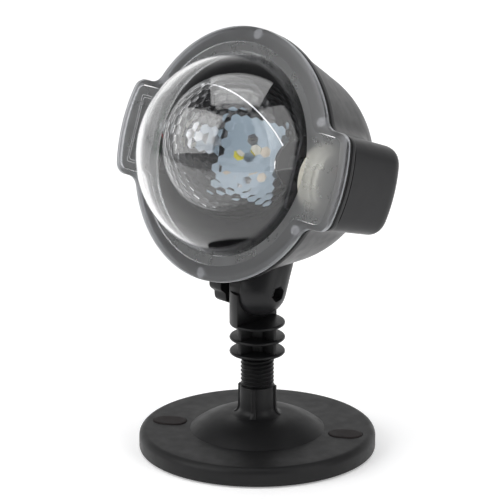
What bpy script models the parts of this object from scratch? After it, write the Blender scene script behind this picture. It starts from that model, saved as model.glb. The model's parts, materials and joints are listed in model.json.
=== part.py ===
"""Light projector on a weighted round stand: a rotating lens ball inside a clear-fronted head.

World frame: metres, +Z up, the projector faces -Y, and the origin is the middle of the foot pad's
underside.  The head is modelled in its own frame: x across, y back from the flange's front face and
z up, about the middle of the flange.  The head frame is tipped back about the tilt screw.
"""
import math

import bmesh
import bpy
from mathutils import Matrix, Vector

MM = 0.001
GAP = 0.3 * MM

# Stand
BASE_RADIUS = 62.5 * MM
BASE_TOP = 10.7 * MM
BASE_SIDE_TOP = 7.2 * MM
BASE_SKIRT_FOOT = 0.8 * MM
BASE_WALL = 2.4 * MM
BELL_RADIUS = 35.5 * MM
BELL_STEPS = 5
HUB_FOOT = 19.0 * MM
HUB_TOP = 35.0 * MM
HUB_RADIUS = 9.2 * MM
HUB_RIB_REACH = 10.2 * MM
HUB_RIB_WIDTH = 2.6 * MM
HUB_BORE = 7.6 * MM
HUB_TURN = math.radians(32.5)
PAD_RADIUS = 58.5 * MM
PAD_TOP = 2.6 * MM
BALLAST_RADIUS = 57.5 * MM
BALLAST_BOTTOM = 3.0 * MM
BALLAST_TOP = 7.9 * MM
SLOT_CENTRE = 47.5 * MM
SLOT_LENGTH = 18.0 * MM
SLOT_WIDTH = 13.0 * MM
PLUG_BOTTOM = 8.4 * MM
PLUG_TOP = 11.1 * MM

# Stem
SPIGOT_RADIUS = 7.2 * MM
SPIGOT_BOTTOM = 12.0 * MM
THREAD_RADIUS = 8.85 * MM
THREAD_ROOT = 7.7 * MM
THREAD_PITCH = 2.25 * MM
THREAD_TURNS = 7
FIN_RADIUS = 14.65 * MM
FIN_THICKNESS = 1.8 * MM
FIN_HEIGHTS = (53.7 * MM, 61.5 * MM, 69.6 * MM)
STEM_CORE = 5.5 * MM
WEB_REACH = 13.4 * MM
WEB_THICKNESS = 2.2 * MM
CHEEK_INNER = 0.2 * MM
CHEEK_TOP_RADIUS = 13.6 * MM
CHEEK_SHOULDER = 3.5 * MM
CHEEK_CLEAR = 17.0 * MM

# Tilt joint
HINGE_Y = 1.2 * MM
HINGE_Z = 87.9 * MM
PITCH = math.radians(19.39)
FLANGE_AHEAD = 47.9 * MM
FLANGE_ABOVE = 66.6 * MM
LUG_RADIUS = 14.5 * MM
LUG_RISE = 22.6 * MM
LUG_RINGS = 8
SCREW_RADIUS = 2.0 * MM
SCREW_HOLE = 2.3 * MM
NUT_ACROSS = 7.0 * MM
NUT_POCKET_ACROSS = 7.7 * MM
NUT_BACK = 4.8 * MM
NUT_THICKNESS = 3.2 * MM
KNOB_RADIUS = 12.0 * MM
KNOB_LOBES = 6
KNOB_LOBE_DEPTH = 1.9 * MM
KNOB_INNER = 16.4 * MM
KNOB_OUTER = 25.6 * MM

# Cover and housing
FLANGE_RADIUS = 66.5 * MM
EAR_REACH = 80.0 * MM
EAR_HALF_HEIGHT = 25.5 * MM
EAR_CORNER = 7.0 * MM
EAR_FILLET = 8.0 * MM
COVER_SKIRT = 4.0 * MM
COVER_WALL = 2.2 * MM
DOME_RADIUS = 54.4 * MM
DOME_CENTRE = 10.5 * MM
DOME_WALL = 2.0 * MM
DOME_RINGS = 6
PEG_CIRCLE = 63.2 * MM
PEG_ANGLE = 26.4
PEG_RADIUS = 1.5 * MM
PEG_HOLE = 1.8 * MM
PEG_TIP = 8.4 * MM
GASKET_FRONT = 4.3 * MM
GASKET_BACK = 5.9 * MM
GASKET_BAND = 4.6 * MM
RIM_FRONT = 6.2 * MM
RIM_BACK = 9.2 * MM
RIM_INSET = 0.8 * MM
BOWL_MOUTH = 65.0 * MM
BOWL_SPHERE = 54.0 * MM
BOWL_CENTRE = 33.0 * MM
BOWL_REAR = 80.0 * MM
HOUSING_WALL = 2.4 * MM
EAR_REAR = 49.0 * MM
EAR_BAND_CORNER = 6.5 * MM

# Lens ball, on an axis across the head
BALL_X = -2.0 * MM
BALL_Y = 8.0 * MM
BALL_Z = 4.0 * MM
BALL_RADIUS = 38.5 * MM
BALL_WALL = 2.0 * MM
BALL_SPLIT_TILT = math.radians(131.0)
BALL_PORT = 9.0 * MM
BALL_RINGS = 7
HUB_SPIGOT = 8.7 * MM
HUB_FLANGE = 11.5 * MM
DRIVE_NECK = 3.6 * MM
BUSH_RADIUS = 5.6 * MM
POST_RADIUS = 4.0 * MM
POST_BORE = 2.5 * MM
POST_OUTER_END = 58.0 * MM
POST_INNER_END = 22.0 * MM

# Motor and brackets
MOTOR_RADIUS = 18.0 * MM
MOTOR_FACE = 47.0 * MM
MOTOR_LENGTH = 11.0 * MM
MOTOR_CAP_LENGTH = 3.0 * MM
MOTOR_Y = 20.8 * MM
MOTOR_Z = 0.0 * MM
SHAFT_RADIUS = 2.0 * MM
BRACKET_THICKNESS = 1.5 * MM
BRACKET_X = 44.6 * MM
POST_BRACKET_X = 49.0 * MM
BRACKET_FRONT = 2.7 * MM
BRACKET_BACK = 36.0 * MM
BRACKET_HALF_HEIGHT = 18.5 * MM
BOSS_X = 38.0 * MM
BOSS_Z = 14.0 * MM
BOSS_RADIUS = 3.5 * MM
SCREW_HEAD = 2.7 * MM
SCREW_HEAD_HEIGHT = 1.6 * MM

# Light source
LED_BOARD = 42.0 * MM
LED_BOARD_FRONT = 16.0 * MM
LED_BOARD_THICKNESS = 1.6 * MM
LED_CHIP = 3.5 * MM
LED_CHIP_HEIGHT = 0.8 * MM
SINK_WIDTH = 33.0 * MM
SINK_BASE = 2.4 * MM
SINK_DEPTH = 8.0 * MM
SINK_FINS = 6
SINK_FIN = 1.6 * MM

# Driver board and cable inlet
DRIVER_X = 66.0 * MM
DRIVER_DEPTH = 24.0 * MM
DRIVER_HEIGHT = 30.0 * MM
DRIVER_Y = 24.0 * MM
GLAND_Z = -12.0 * MM
GLAND_RADIUS = 6.0 * MM

ROUND = 48
SMALL_ROUND = 20

COLOURS = {
    "charcoal": ((0.045, 0.045, 0.048, 1), 0.5, 0.0),
    "black": ((0.012, 0.012, 0.013, 1), 0.45, 0.0),
    "plug": ((0.022, 0.018, 0.017, 1), 0.7, 0.0),
    "clear": ((0.80, 0.82, 0.85, 0.3), 0.05, 0.0),
    "rubber": ((0.02, 0.02, 0.02, 1), 0.8, 0.0),
    "steel": ((0.55, 0.55, 0.56, 1), 0.3, 1.0),
    "aluminium": ((0.75, 0.76, 0.78, 1), 0.35, 1.0),
    "cream": ((0.78, 0.76, 0.68, 1), 0.5, 0.0),
    "board": ((0.72, 0.82, 0.90, 1), 0.45, 0.0),
    "phosphor": ((0.85, 0.75, 0.10, 1), 0.4, 0.0),
    "circuit": ((0.03, 0.18, 0.08, 1), 0.5, 0.0),
    "red": ((0.55, 0.02, 0.02, 1), 0.5, 0.0),
}


# ---------------------------------------------------------------- helpers

def clear_scene():
    for obj in list(bpy.data.objects):
        bpy.data.objects.remove(obj, do_unlink=True)


def make_collection(name):
    collection = bpy.data.collections.new(name)
    bpy.context.scene.collection.children.link(collection)
    return collection


def material(name):
    found = bpy.data.materials.get(name)
    if found:
        return found
    colour, roughness, metallic = COLOURS[name]
    made = bpy.data.materials.new(name)
    made.use_nodes = True
    shader = made.node_tree.nodes["Principled BSDF"]
    shader.inputs["Base Color"].default_value = colour
    shader.inputs["Roughness"].default_value = roughness
    shader.inputs["Metallic"].default_value = metallic
    shader.inputs["Alpha"].default_value = colour[3]
    made.diffuse_color = colour
    return made


def empty(name, location, parent=None, pitch=0.0):
    made = bpy.data.objects.new(name, None)
    made.location = location
    made.rotation_euler.x = pitch
    made.parent = parent
    PARTS.objects.link(made)
    return made


def finish(bm, name, look, parent, location=(0, 0, 0), rotation=(0, 0, 0)):
    """Turn a bmesh into a part, or into a cutter when look is None."""
    bmesh.ops.recalc_face_normals(bm, faces=bm.faces)
    mesh = bpy.data.meshes.new(name)
    bm.to_mesh(mesh)
    bm.free()
    mesh.shade_smooth()
    mesh.set_sharp_from_angle(angle=math.radians(35))
    return add_object(mesh, name, look, parent, location, rotation)


def add_object(data, name, look, parent, location=(0, 0, 0), rotation=(0, 0, 0)):
    obj = bpy.data.objects.new(name, data)
    obj.location = location
    obj.rotation_euler = rotation
    obj.parent = parent
    if look is None:
        CUTTERS.objects.link(obj)
        obj.hide_render = True
        obj.display_type = "WIRE"
    else:
        PARTS.objects.link(obj)
        data.materials.append(material(look))
    return obj


def boolean(obj, tool, operation="DIFFERENCE"):
    modifier = obj.modifiers.new(operation.title() + " " + tool.name, "BOOLEAN")
    modifier.operation = operation
    modifier.object = tool
    modifier.solver = "EXACT"


def turned(name, profile, look, parent, location=(0, 0, 0), rotation=(0, 0, 0), steps=ROUND, closed=False):
    """Revolve (radius, height) points about local Z; the outer side runs from top to bottom."""
    bm = bmesh.new()
    points = [bm.verts.new((radius, 0, height)) for radius, height in profile]
    for first, second in zip(points, points[1:]):
        bm.edges.new((first, second))
    if closed:
        bm.edges.new((points[-1], points[0]))
    mesh = bpy.data.meshes.new(name)
    bm.to_mesh(mesh)
    bm.free()
    obj = add_object(mesh, name, look, parent, location, rotation)
    screw = obj.modifiers.new("Turn", "SCREW")
    screw.steps = steps
    screw.render_steps = steps
    screw.use_merge_vertices = True
    screw.merge_threshold = 0.00001
    screw.use_smooth_shade = True
    return obj


def lofted(name, loops, look, parent, closed=False):
    """Join equal loops of points in order; the ends are capped unless the loft closes on itself."""
    bm = bmesh.new()
    rings = [[bm.verts.new(point) for point in loop] for loop in loops]
    pairs = list(zip(rings, rings[1:]))
    if closed:
        pairs.append((rings[-1], rings[0]))
    for ring, following in pairs:
        for i in range(len(ring)):
            j = (i + 1) % len(ring)
            bm.faces.new((ring[i], ring[j], following[j], following[i]))
    if not closed:
        bm.faces.new(rings[0])
        bm.faces.new(list(reversed(rings[-1])))
    return finish(bm, name, look, parent)


def add_box(bm, size, centre, turn=None):
    place = Matrix.Translation(centre) @ (turn or Matrix.Identity(4))
    bmesh.ops.create_cube(bm, size=1.0, matrix=place @ Matrix.Diagonal((*size, 1)))


def add_rod(bm, radius, start, end, steps=SMALL_ROUND, end_radius=None):
    """A closed round bar, or a cone, between two points."""
    start = Vector(start)
    along = Vector(end) - start
    place = Matrix.Translation(start + along / 2) @ along.to_track_quat("Z", "Y").to_matrix().to_4x4()
    last = radius if end_radius is None else end_radius
    bmesh.ops.create_cone(bm, cap_ends=True, segments=steps, radius1=radius, radius2=last,
                          depth=along.length, matrix=place)


def arc(centre, radius, start, end, count):
    """Points on an arc between two angles in degrees, both ends included."""
    angles = [math.radians(start + (end - start) * i / (count - 1)) for i in range(count)]
    return [(centre[0] + radius * math.cos(a), centre[1] + radius * math.sin(a)) for a in angles]


def extruded(name, outline, low, high, look, parent, location=(0, 0, 0), rotation=(0, 0, 0)):
    """A prism over a flat outline, from one height of local Z to another."""
    bm = bmesh.new()
    face = bm.faces.new([bm.verts.new((x, y, low)) for x, y in outline])
    grown = bmesh.ops.extrude_face_region(bm, geom=[face])
    risen = [item for item in grown["geom"] if isinstance(item, bmesh.types.BMVert)]
    bmesh.ops.translate(bm, verts=risen, vec=(0, 0, high - low))
    return finish(bm, name, look, parent, location, rotation)


def across(name, outline, low, high, look, parent):
    """A prism along X over a flat outline of (y, z) points."""
    loops = [[(x, y, z) for y, z in outline] for x in (low, high)]
    return lofted(name, loops, look, parent)


def wire(name, points, radius, look, parent):
    """A round wire along a smooth curve through its points."""
    curve = bpy.data.curves.new(name, "CURVE")
    curve.dimensions = "3D"
    spline = curve.splines.new("POLY")
    path = smooth_path([Vector(point) for point in points])
    spline.points.add(len(path) - 1)
    for place, point in zip(spline.points, path):
        place.co = (*point, 1)
    curve.bevel_depth = radius
    curve.bevel_resolution = 1
    curve.use_fill_caps = True
    return add_object(curve, name, look, parent)


def smooth_path(points, steps=4):
    """Catmull-Rom points through the given ones."""
    path = []
    padded = [2 * points[0] - points[1]] + points + [2 * points[-1] - points[-2]]
    for a, b, c, d in zip(padded, padded[1:], padded[2:], padded[3:]):
        for i in range(steps):
            t = i / steps
            bend = (2 * a - 5 * b + 4 * c - d) * t * t + (3 * b - a - 3 * c + d) * t ** 3
            path.append(0.5 * (2 * b + (c - a) * t + bend))
    path.append(points[-1])
    return path


# ---------------------------------------------------------------- outlines of the head

def four_quadrants(quadrant):
    """Repeat the points of the first quadrant round all four, without doubling the axes."""
    first = quadrant
    second = [(-x, z) for x, z in reversed(quadrant[:-1])]
    third = [(-x, -z) for x, z in quadrant[1:]]
    fourth = [(x, -z) for x, z in reversed(quadrant[1:-1])]
    return first + second + third + fourth


def flange_outline(inset):
    """The round flange with an ear at each side, every edge moved in by the same amount."""
    radius = FLANGE_RADIUS - inset
    reach = EAR_REACH - inset
    half_height = EAR_HALF_HEIGHT - inset
    corner = EAR_CORNER - inset
    fillet = EAR_FILLET + inset
    corner_x = math.sqrt((reach - corner) ** 2 - (half_height - corner) ** 2)
    corner_angle = math.degrees(math.atan2(half_height - corner, corner_x))
    fillet_x = math.sqrt((radius + fillet) ** 2 - (half_height + fillet) ** 2)
    joint_angle = math.degrees(math.atan2(half_height + fillet, fillet_x))
    quadrant = arc((0, 0), reach, 0, corner_angle, 3)
    quadrant += arc((corner_x, half_height - corner), corner, corner_angle, 90, 4)[1:]
    quadrant += arc((fillet_x, half_height + fillet), fillet, 270, 180 + joint_angle, 3)
    quadrant += arc((0, 0), radius, joint_angle, 90, 6)[1:]
    return four_quadrants(quadrant)


def band_outline(reach, half_height, corner):
    """A bar across the head whose ends are rounded corners on a common arc."""
    corner_x = math.sqrt((reach - corner) ** 2 - (half_height - corner) ** 2)
    corner_angle = math.degrees(math.atan2(half_height - corner, corner_x))
    quadrant = arc((0, 0), reach, 0, corner_angle, 3)
    quadrant += arc((corner_x, half_height - corner), corner, corner_angle, 90, 4)[1:]
    quadrant.append((0, half_height))
    return four_quadrants(quadrant)


def at_depth(outline, depth):
    return [(x, depth, z) for x, z in outline]


def flange_ring(inset, depth):
    return at_depth(flange_outline(inset), depth)


def circle_ring(radius, depth):
    """A circle whose points lie on the same rays as the flange outline's."""
    return [(x / math.hypot(x, z) * radius, depth, z / math.hypot(x, z) * radius)
            for x, z in flange_outline(0)]


def dome_rings(radius, foot_depth, rings):
    """Circles up a sphere, from its foot at the flange to a small cap at the front."""
    foot = math.acos((DOME_CENTRE - foot_depth) / radius)
    angles = [foot * (1 - i / (rings + 0.5)) for i in range(rings + 1)]
    return [circle_ring(radius * math.sin(a), DOME_CENTRE - radius * math.cos(a)) for a in angles]


def bowl_profile(mouth, front, sphere, rear):
    """(radius, depth) down the outside of the bowl: flat rear, sphere, then a cone to the mouth."""
    rear_angle = math.degrees(math.asin((rear - BOWL_CENTRE) / sphere))
    span = math.hypot(mouth, BOWL_CENTRE - front)
    cone_angle = math.degrees(math.acos(sphere / span) - math.atan2(BOWL_CENTRE - front, mouth))
    side = arc((0, BOWL_CENTRE), sphere, rear_angle, cone_angle, 5)
    return [(0, rear)] + side + [(mouth, front), (0, front)]


def peg_places():
    angles = [90, -90, PEG_ANGLE, -PEG_ANGLE, 180 - PEG_ANGLE, 180 + PEG_ANGLE]
    return [(PEG_CIRCLE * math.cos(math.radians(a)), PEG_CIRCLE * math.sin(math.radians(a))) for a in angles]


def peg_rods(name, radius, front, back, look):
    bm = bmesh.new()
    for x, z in peg_places():
        add_rod(bm, radius, (x, front, z), (x, back, z), 10)
    return finish(bm, name, look, HEAD)


ALONG_X = (0, math.radians(90), 0)
ALONG_Y = (math.radians(-90), 0, 0)


# ---------------------------------------------------------------- stand

def obround(length, width, count=7):
    half = (length - width) / 2
    return arc((half, 0), width / 2, -90, 90, count) + arc((-half, 0), width / 2, 90, 270, count)


def slot_place(index):
    angle = HUB_TURN + index * math.pi
    return (SLOT_CENTRE * math.cos(angle), SLOT_CENTRE * math.sin(angle), 0), (0, 0, angle)


def make_base_shell():
    edge = BASE_TOP - BASE_SIDE_TOP
    bell_end = HUB_RADIUS + 3.5 * MM
    rise = HUB_FOOT - BASE_TOP
    bell = []
    for i in range(BELL_STEPS + 1):
        t = i / BELL_STEPS
        bell.append((bell_end + (BELL_RADIUS - bell_end) * t, BASE_TOP + rise * (1 - t ** 2.2)))
    under = BASE_TOP - BASE_WALL
    profile = [(HUB_BORE, HUB_TOP), (HUB_RADIUS, HUB_TOP), (HUB_RADIUS, HUB_FOOT + 3 * MM),
               (HUB_RADIUS + 1.0 * MM, HUB_FOOT + 1.0 * MM)]
    profile += bell
    profile += [(radius, height) for radius, height in
                reversed(arc((BASE_RADIUS - edge, BASE_SIDE_TOP), edge, 0, 90, 3))]
    profile += [(BASE_RADIUS, BASE_SKIRT_FOOT), (BASE_RADIUS - BASE_WALL, BASE_SKIRT_FOOT),
                (BASE_RADIUS - BASE_WALL, under), (HUB_BORE, under)]
    shell = turned("base_shell", profile, "black", None, closed=True)
    bm = bmesh.new()
    for i in range(4):
        turn = Matrix.Rotation(HUB_TURN + i * math.pi / 2, 4, "Z")
        reach = HUB_RIB_REACH - HUB_BORE - 1.0 * MM
        middle = turn @ Vector((HUB_RIB_REACH - reach / 2, 0, (HUB_TOP + HUB_FOOT) / 2))
        add_box(bm, (reach, HUB_RIB_WIDTH, HUB_TOP - HUB_FOOT), middle, turn)
    boolean(shell, finish(bm, "hub_ribs", None, None), "UNION")
    for i in range(2):
        place, turn = slot_place(i)
        outline = obround(SLOT_LENGTH + 2 * GAP, SLOT_WIDTH + 2 * GAP)
        boolean(shell, extruded("slot_cut_%d" % (i + 1), outline, 0, 2 * BASE_TOP, None, None, place, turn))


def make_plugs():
    for i in range(2):
        place, turn = slot_place(i)
        extruded("screw_hole_plug_%d" % (i + 1), obround(SLOT_LENGTH, SLOT_WIDTH), PLUG_BOTTOM, PLUG_TOP,
                 "plug", None, place, turn)


def make_ballast_and_pad():
    turned("base_ballast", [(HUB_BORE, BALLAST_TOP), (BALLAST_RADIUS, BALLAST_TOP),
                            (BALLAST_RADIUS, BALLAST_BOTTOM), (HUB_BORE, BALLAST_BOTTOM)],
           "steel", None, closed=True)
    turned("base_foot_pad", [(0, PAD_TOP), (PAD_RADIUS, PAD_TOP), (PAD_RADIUS, 0), (0, 0)], "rubber", None)


# ---------------------------------------------------------------- stem, knob and tilt screw

def stem_profile():
    """Down the outside of the stem: three fins, a thread and the spigot that turns in the hub."""
    profile = [(0, FIN_HEIGHTS[-1] + FIN_THICKNESS / 2)]
    half = FIN_THICKNESS / 2
    for height in reversed(FIN_HEIGHTS):
        profile += [(FIN_RADIUS - half / 2, height + half), (FIN_RADIUS, height + half / 2),
                    (FIN_RADIUS, height - half / 2), (FIN_RADIUS - half / 2, height - half)]
        profile += [(STEM_CORE, height - half)]
        if height > FIN_HEIGHTS[0]:
            below = FIN_HEIGHTS[FIN_HEIGHTS.index(height) - 1]
            profile += [(STEM_CORE, below + half)]
    thread_top = FIN_HEIGHTS[0] - half
    profile[-1] = (THREAD_ROOT, thread_top)
    for i in range(THREAD_TURNS):
        crest = thread_top - (i + 0.5) * THREAD_PITCH
        profile += [(THREAD_RADIUS, crest), (THREAD_ROOT, crest - THREAD_PITCH / 2)]
    profile += [(THREAD_ROOT, HUB_TOP + GAP), (SPIGOT_RADIUS, HUB_TOP + GAP),
                (SPIGOT_RADIUS, SPIGOT_BOTTOM), (0, SPIGOT_BOTTOM)]
    return profile


def make_stem():
    stem = turned("stem", stem_profile(), "black", PAN, steps=24)
    low = FIN_HEIGHTS[0]
    high = FIN_HEIGHTS[-1]
    bm = bmesh.new()
    add_box(bm, (2 * WEB_REACH, WEB_THICKNESS, high - low), (0, 0, (high + low) / 2))
    webs = finish(bm, "web_across", None, PAN)
    bm = bmesh.new()
    add_box(bm, (WEB_THICKNESS, 2 * WEB_REACH, high - low), (0, 0, (high + low) / 2))
    boolean(stem, webs, "UNION")
    boolean(stem, finish(bm, "web_along", None, PAN), "UNION")
    boolean(stem, make_cheek(), "UNION")
    bm = bmesh.new()
    add_rod(bm, SCREW_HOLE, (-2 * FIN_RADIUS, HINGE_Y, HINGE_Z), (0, HINGE_Y, HINGE_Z))
    boolean(stem, finish(bm, "cheek_hole", None, PAN))


def make_cheek():
    """The upright that carries the tilt screw: half of the fins' cylinder, round at the top."""
    radius = FIN_RADIUS + 0.1 * MM
    edge = math.degrees(math.acos(CHEEK_INNER / radius))
    outline = arc((0, 0), radius, 180 - edge, 180 + edge, 9)
    cheek = extruded("cheek", outline, FIN_HEIGHTS[-1], HINGE_Z + 2 * CHEEK_TOP_RADIUS, None, PAN)
    front = arc((HINGE_Y, HINGE_Z), CHEEK_TOP_RADIUS, 0, 180, 13)
    shoulder = HINGE_Z - CHEEK_SHOULDER
    front += [(HINGE_Y - CHEEK_CLEAR, shoulder), (HINGE_Y - CHEEK_CLEAR, 0),
              (HINGE_Y + CHEEK_CLEAR, 0), (HINGE_Y + CHEEK_CLEAR, shoulder)]
    boolean(cheek, across("cheek_front", front, -2 * FIN_RADIUS, FIN_RADIUS, None, PAN), "INTERSECT")
    return cheek


def make_tilt_fasteners():
    hinge = (0, HINGE_Y, HINGE_Z)
    turned("tilt_washer", [(SCREW_HOLE, -FIN_RADIUS - GAP), (6 * MM, -FIN_RADIUS - GAP),
                           (6 * MM, -FIN_RADIUS - GAP - 1 * MM), (SCREW_HOLE, -FIN_RADIUS - GAP - 1 * MM)],
           "steel", PAN, hinge, ALONG_X, SMALL_ROUND, True)
    outline = []
    count = KNOB_LOBES * 6
    for i in range(count):
        angle = 2 * math.pi * i / count
        radius = KNOB_RADIUS - KNOB_LOBE_DEPTH * (0.5 - 0.5 * math.cos(KNOB_LOBES * angle))
        outline.append((radius * math.cos(angle), radius * math.sin(angle)))
    knob = extruded("tilt_knob", outline, -KNOB_OUTER, -KNOB_INNER, "black", KNOB, (0, 0, 0), ALONG_X)
    bevel = knob.modifiers.new("Soft edges", "BEVEL")
    bevel.width = 1.0 * MM
    bevel.segments = 1
    bevel.limit_method = "ANGLE"
    bevel.angle_limit = math.radians(60)
    bm = bmesh.new()
    add_rod(bm, SCREW_HOLE, (-KNOB_OUTER + 3 * MM, 0, 0), (0, 0, 0), 16)
    boolean(knob, finish(bm, "knob_bore", None, KNOB))
    bm = bmesh.new()
    add_rod(bm, SCREW_RADIUS, (-KNOB_OUTER + 3.3 * MM, 0, 0), (NUT_BACK + NUT_THICKNESS + MM, 0, 0), 16)
    finish(bm, "tilt_screw", "steel", KNOB)


def hexagon(across):
    return [(across / math.sqrt(3) * math.cos(math.radians(60 * i)),
             across / math.sqrt(3) * math.sin(math.radians(60 * i))) for i in range(6)]


def make_tilt_nut():
    hinge = (0, FLANGE_AHEAD, -FLANGE_ABOVE)
    nut = extruded("tilt_nut", hexagon(NUT_ACROSS), NUT_BACK, NUT_BACK + NUT_THICKNESS, "steel", HEAD,
                   hinge, ALONG_X)
    bm = bmesh.new()
    add_rod(bm, SCREW_HOLE, (0, FLANGE_AHEAD, -FLANGE_ABOVE), (LUG_RADIUS, FLANGE_AHEAD, -FLANGE_ABOVE), 16)
    boolean(nut, finish(bm, "nut_bore", None, HEAD))


# ---------------------------------------------------------------- head: cover, gasket, housing

def make_front_cover():
    foot = DOME_RADIUS * math.sin(math.acos(DOME_CENTRE / DOME_RADIUS))
    outer = [ring for ring in reversed(dome_rings(DOME_RADIUS, 0, DOME_RINGS))]
    edge = 1.0 * MM
    loops = outer + [circle_ring(foot + 3 * MM, 0), flange_ring(edge, 0), flange_ring(0, edge),
                     flange_ring(0, COVER_SKIRT), flange_ring(COVER_WALL, COVER_SKIRT),
                     flange_ring(COVER_WALL, COVER_WALL)]
    loops += dome_rings(DOME_RADIUS - DOME_WALL, COVER_WALL, DOME_RINGS)
    cover = lofted("front_cover", loops, "clear", HEAD)
    boolean(cover, peg_rods("cover_pegs", PEG_RADIUS, COVER_WALL / 2, PEG_TIP, None), "UNION")


def make_gasket():
    inner = RIM_INSET + GASKET_BAND
    gasket = lofted("cover_gasket", [flange_ring(RIM_INSET, GASKET_FRONT), flange_ring(RIM_INSET, GASKET_BACK),
                                     flange_ring(inner, GASKET_BACK), flange_ring(inner, GASKET_FRONT)],
                    "rubber", HEAD, True)
    boolean(gasket, peg_rods("gasket_holes", PEG_HOLE, 0, RIM_BACK, None))


def make_rear_housing():
    housing = lofted("rear_housing", [flange_ring(RIM_INSET, RIM_FRONT), flange_ring(RIM_INSET, RIM_BACK),
                                      flange_ring(RIM_INSET + MM, RIM_BACK + MM)], "charcoal", HEAD)
    bowl = turned("bowl_outside", bowl_profile(BOWL_MOUTH, RIM_FRONT + MM, BOWL_SPHERE, BOWL_REAR),
                  None, HEAD, (0, 0, 0), ALONG_Y)
    boolean(housing, bowl, "UNION")
    boolean(housing, make_ear_band("ears_outside", RIM_FRONT + MM, 0), "UNION")
    boolean(housing, make_lug(), "UNION")
    boolean(housing, make_cavity())
    boolean(housing, make_bracket_bosses(), "UNION")
    boolean(housing, peg_rods("peg_sockets", PEG_HOLE, 0, PEG_TIP + GAP, None))
    hinge = (0, FLANGE_AHEAD, -FLANGE_ABOVE)
    pocket = extruded("nut_pocket", hexagon(NUT_POCKET_ACROSS), NUT_BACK - GAP, 2 * LUG_RADIUS, None, HEAD,
                      hinge, ALONG_X)
    boolean(housing, pocket)
    bm = bmesh.new()
    add_rod(bm, SCREW_HOLE, (-LUG_RADIUS, FLANGE_AHEAD, -FLANGE_ABOVE), (LUG_RADIUS, FLANGE_AHEAD, -FLANGE_ABOVE))
    add_rod(bm, GLAND_RADIUS + GAP, (0, BOWL_REAR - 2 * HOUSING_WALL, GLAND_Z), (0, 2 * BOWL_REAR, GLAND_Z), 24)
    boolean(housing, finish(bm, "housing_holes", None, HEAD))


def make_ear_band(name, front, inset):
    """The two ear boxes as one bar through the bowl, drawn in a little towards the rear."""
    rear = EAR_REAR - inset
    loops = []
    for depth, shrink in ((front, 0), (rear - 5 * MM, 1.2 * MM), (rear - 1.5 * MM, 2.4 * MM), (rear, 4.6 * MM)):
        reach = EAR_REACH - RIM_INSET - inset - shrink
        height = EAR_HALF_HEIGHT - RIM_INSET - inset - shrink
        loops.append(at_depth(band_outline(reach, height, EAR_BAND_CORNER - inset), depth))
    return lofted(name, loops, None, HEAD)


def make_lug():
    """The round post under the bowl, with a ball end about the hinge and a flat side at the cheek."""
    ball_end = arc((0, 0), LUG_RADIUS, 0, -90, LUG_RINGS)
    ball_end[-1] = (0, -LUG_RADIUS)
    profile = [(0, LUG_RISE), (LUG_RADIUS, LUG_RISE)] + ball_end
    lug = turned("lug", profile, None, HEAD, (0, FLANGE_AHEAD, -FLANGE_ABOVE))
    size = 4 * LUG_RADIUS
    bm = bmesh.new()
    add_box(bm, (size, size, size), (size / 2 + GAP - CHEEK_INNER, FLANGE_AHEAD, -FLANGE_ABOVE))
    boolean(lug, finish(bm, "lug_side", None, HEAD), "INTERSECT")
    return lug


def make_cavity():
    front = RIM_FRONT - MM
    mouth = BOWL_MOUTH - HOUSING_WALL - 1.6 * MM
    profile = bowl_profile(mouth, front, BOWL_SPHERE - HOUSING_WALL, BOWL_REAR - HOUSING_WALL)
    cavity = turned("bowl_inside", profile, None, HEAD, (0, 0, 0), ALONG_Y)
    boolean(cavity, make_ear_band("ears_inside", front, HOUSING_WALL), "UNION")
    return cavity


def make_bracket_bosses():
    bm = bmesh.new()
    for side in (-1, 1):
        for up in (-1, 1):
            place = (side * BOSS_X, up * BOSS_Z)
            add_rod(bm, BOSS_RADIUS, (place[0], BRACKET_BACK + GAP, place[1]), (place[0], BOWL_REAR, place[1]), 16)
    bosses = finish(bm, "bracket_bosses", None, HEAD)
    half_wall = HOUSING_WALL / 2
    profile = bowl_profile(BOWL_MOUTH - HOUSING_WALL, RIM_FRONT, BOWL_SPHERE - half_wall, BOWL_REAR - half_wall)
    boolean(bosses, turned("boss_limit", profile, None, HEAD, (0, 0, 0), ALONG_Y), "INTERSECT")
    return bosses


# ---------------------------------------------------------------- lens ball

def make_ball_half(name, flip):
    """Half of the hollow ball, parted on a slanting plane that holds the spin axis."""
    inner = BALL_RADIUS - BALL_WALL
    lip = GAP / 2
    outside = arc((0, 0), BALL_RADIUS, 90, math.degrees(math.asin(lip / BALL_RADIUS)), BALL_RINGS)
    inside = arc((0, 0), inner, math.degrees(math.asin(lip / inner)), 90, BALL_RINGS)
    tilt = BALL_SPLIT_TILT + (math.pi if flip else 0)
    half = turned(name, [(max(r, 0), h) for r, h in outside] + [(max(r, 0), h) for r, h in inside],
                  "clear", SPIN, (0, 0, 0), (tilt, 0, 0), 28)
    boolean(half, BALL_PORTS)


def make_ball_ports():
    bm = bmesh.new()
    add_rod(bm, BALL_PORT, (-2 * BALL_RADIUS, 0, 0), (2 * BALL_RADIUS, 0, 0), 24)
    return finish(bm, "ball_ports", None, SPIN)


def hub_profile(bore, neck, neck_end):
    """Down the outside of a hub from the ball's inside to the end of its neck."""
    inside = BALL_RADIUS - 3.2 * MM
    flange_in = BALL_RADIUS + GAP
    flange_out = flange_in + 1.5 * MM
    return [(bore, neck_end), (neck, neck_end), (neck, flange_out), (HUB_FLANGE, flange_out),
            (HUB_FLANGE, flange_in), (HUB_SPIGOT, flange_in), (HUB_SPIGOT, inside), (bore, inside)]


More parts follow.
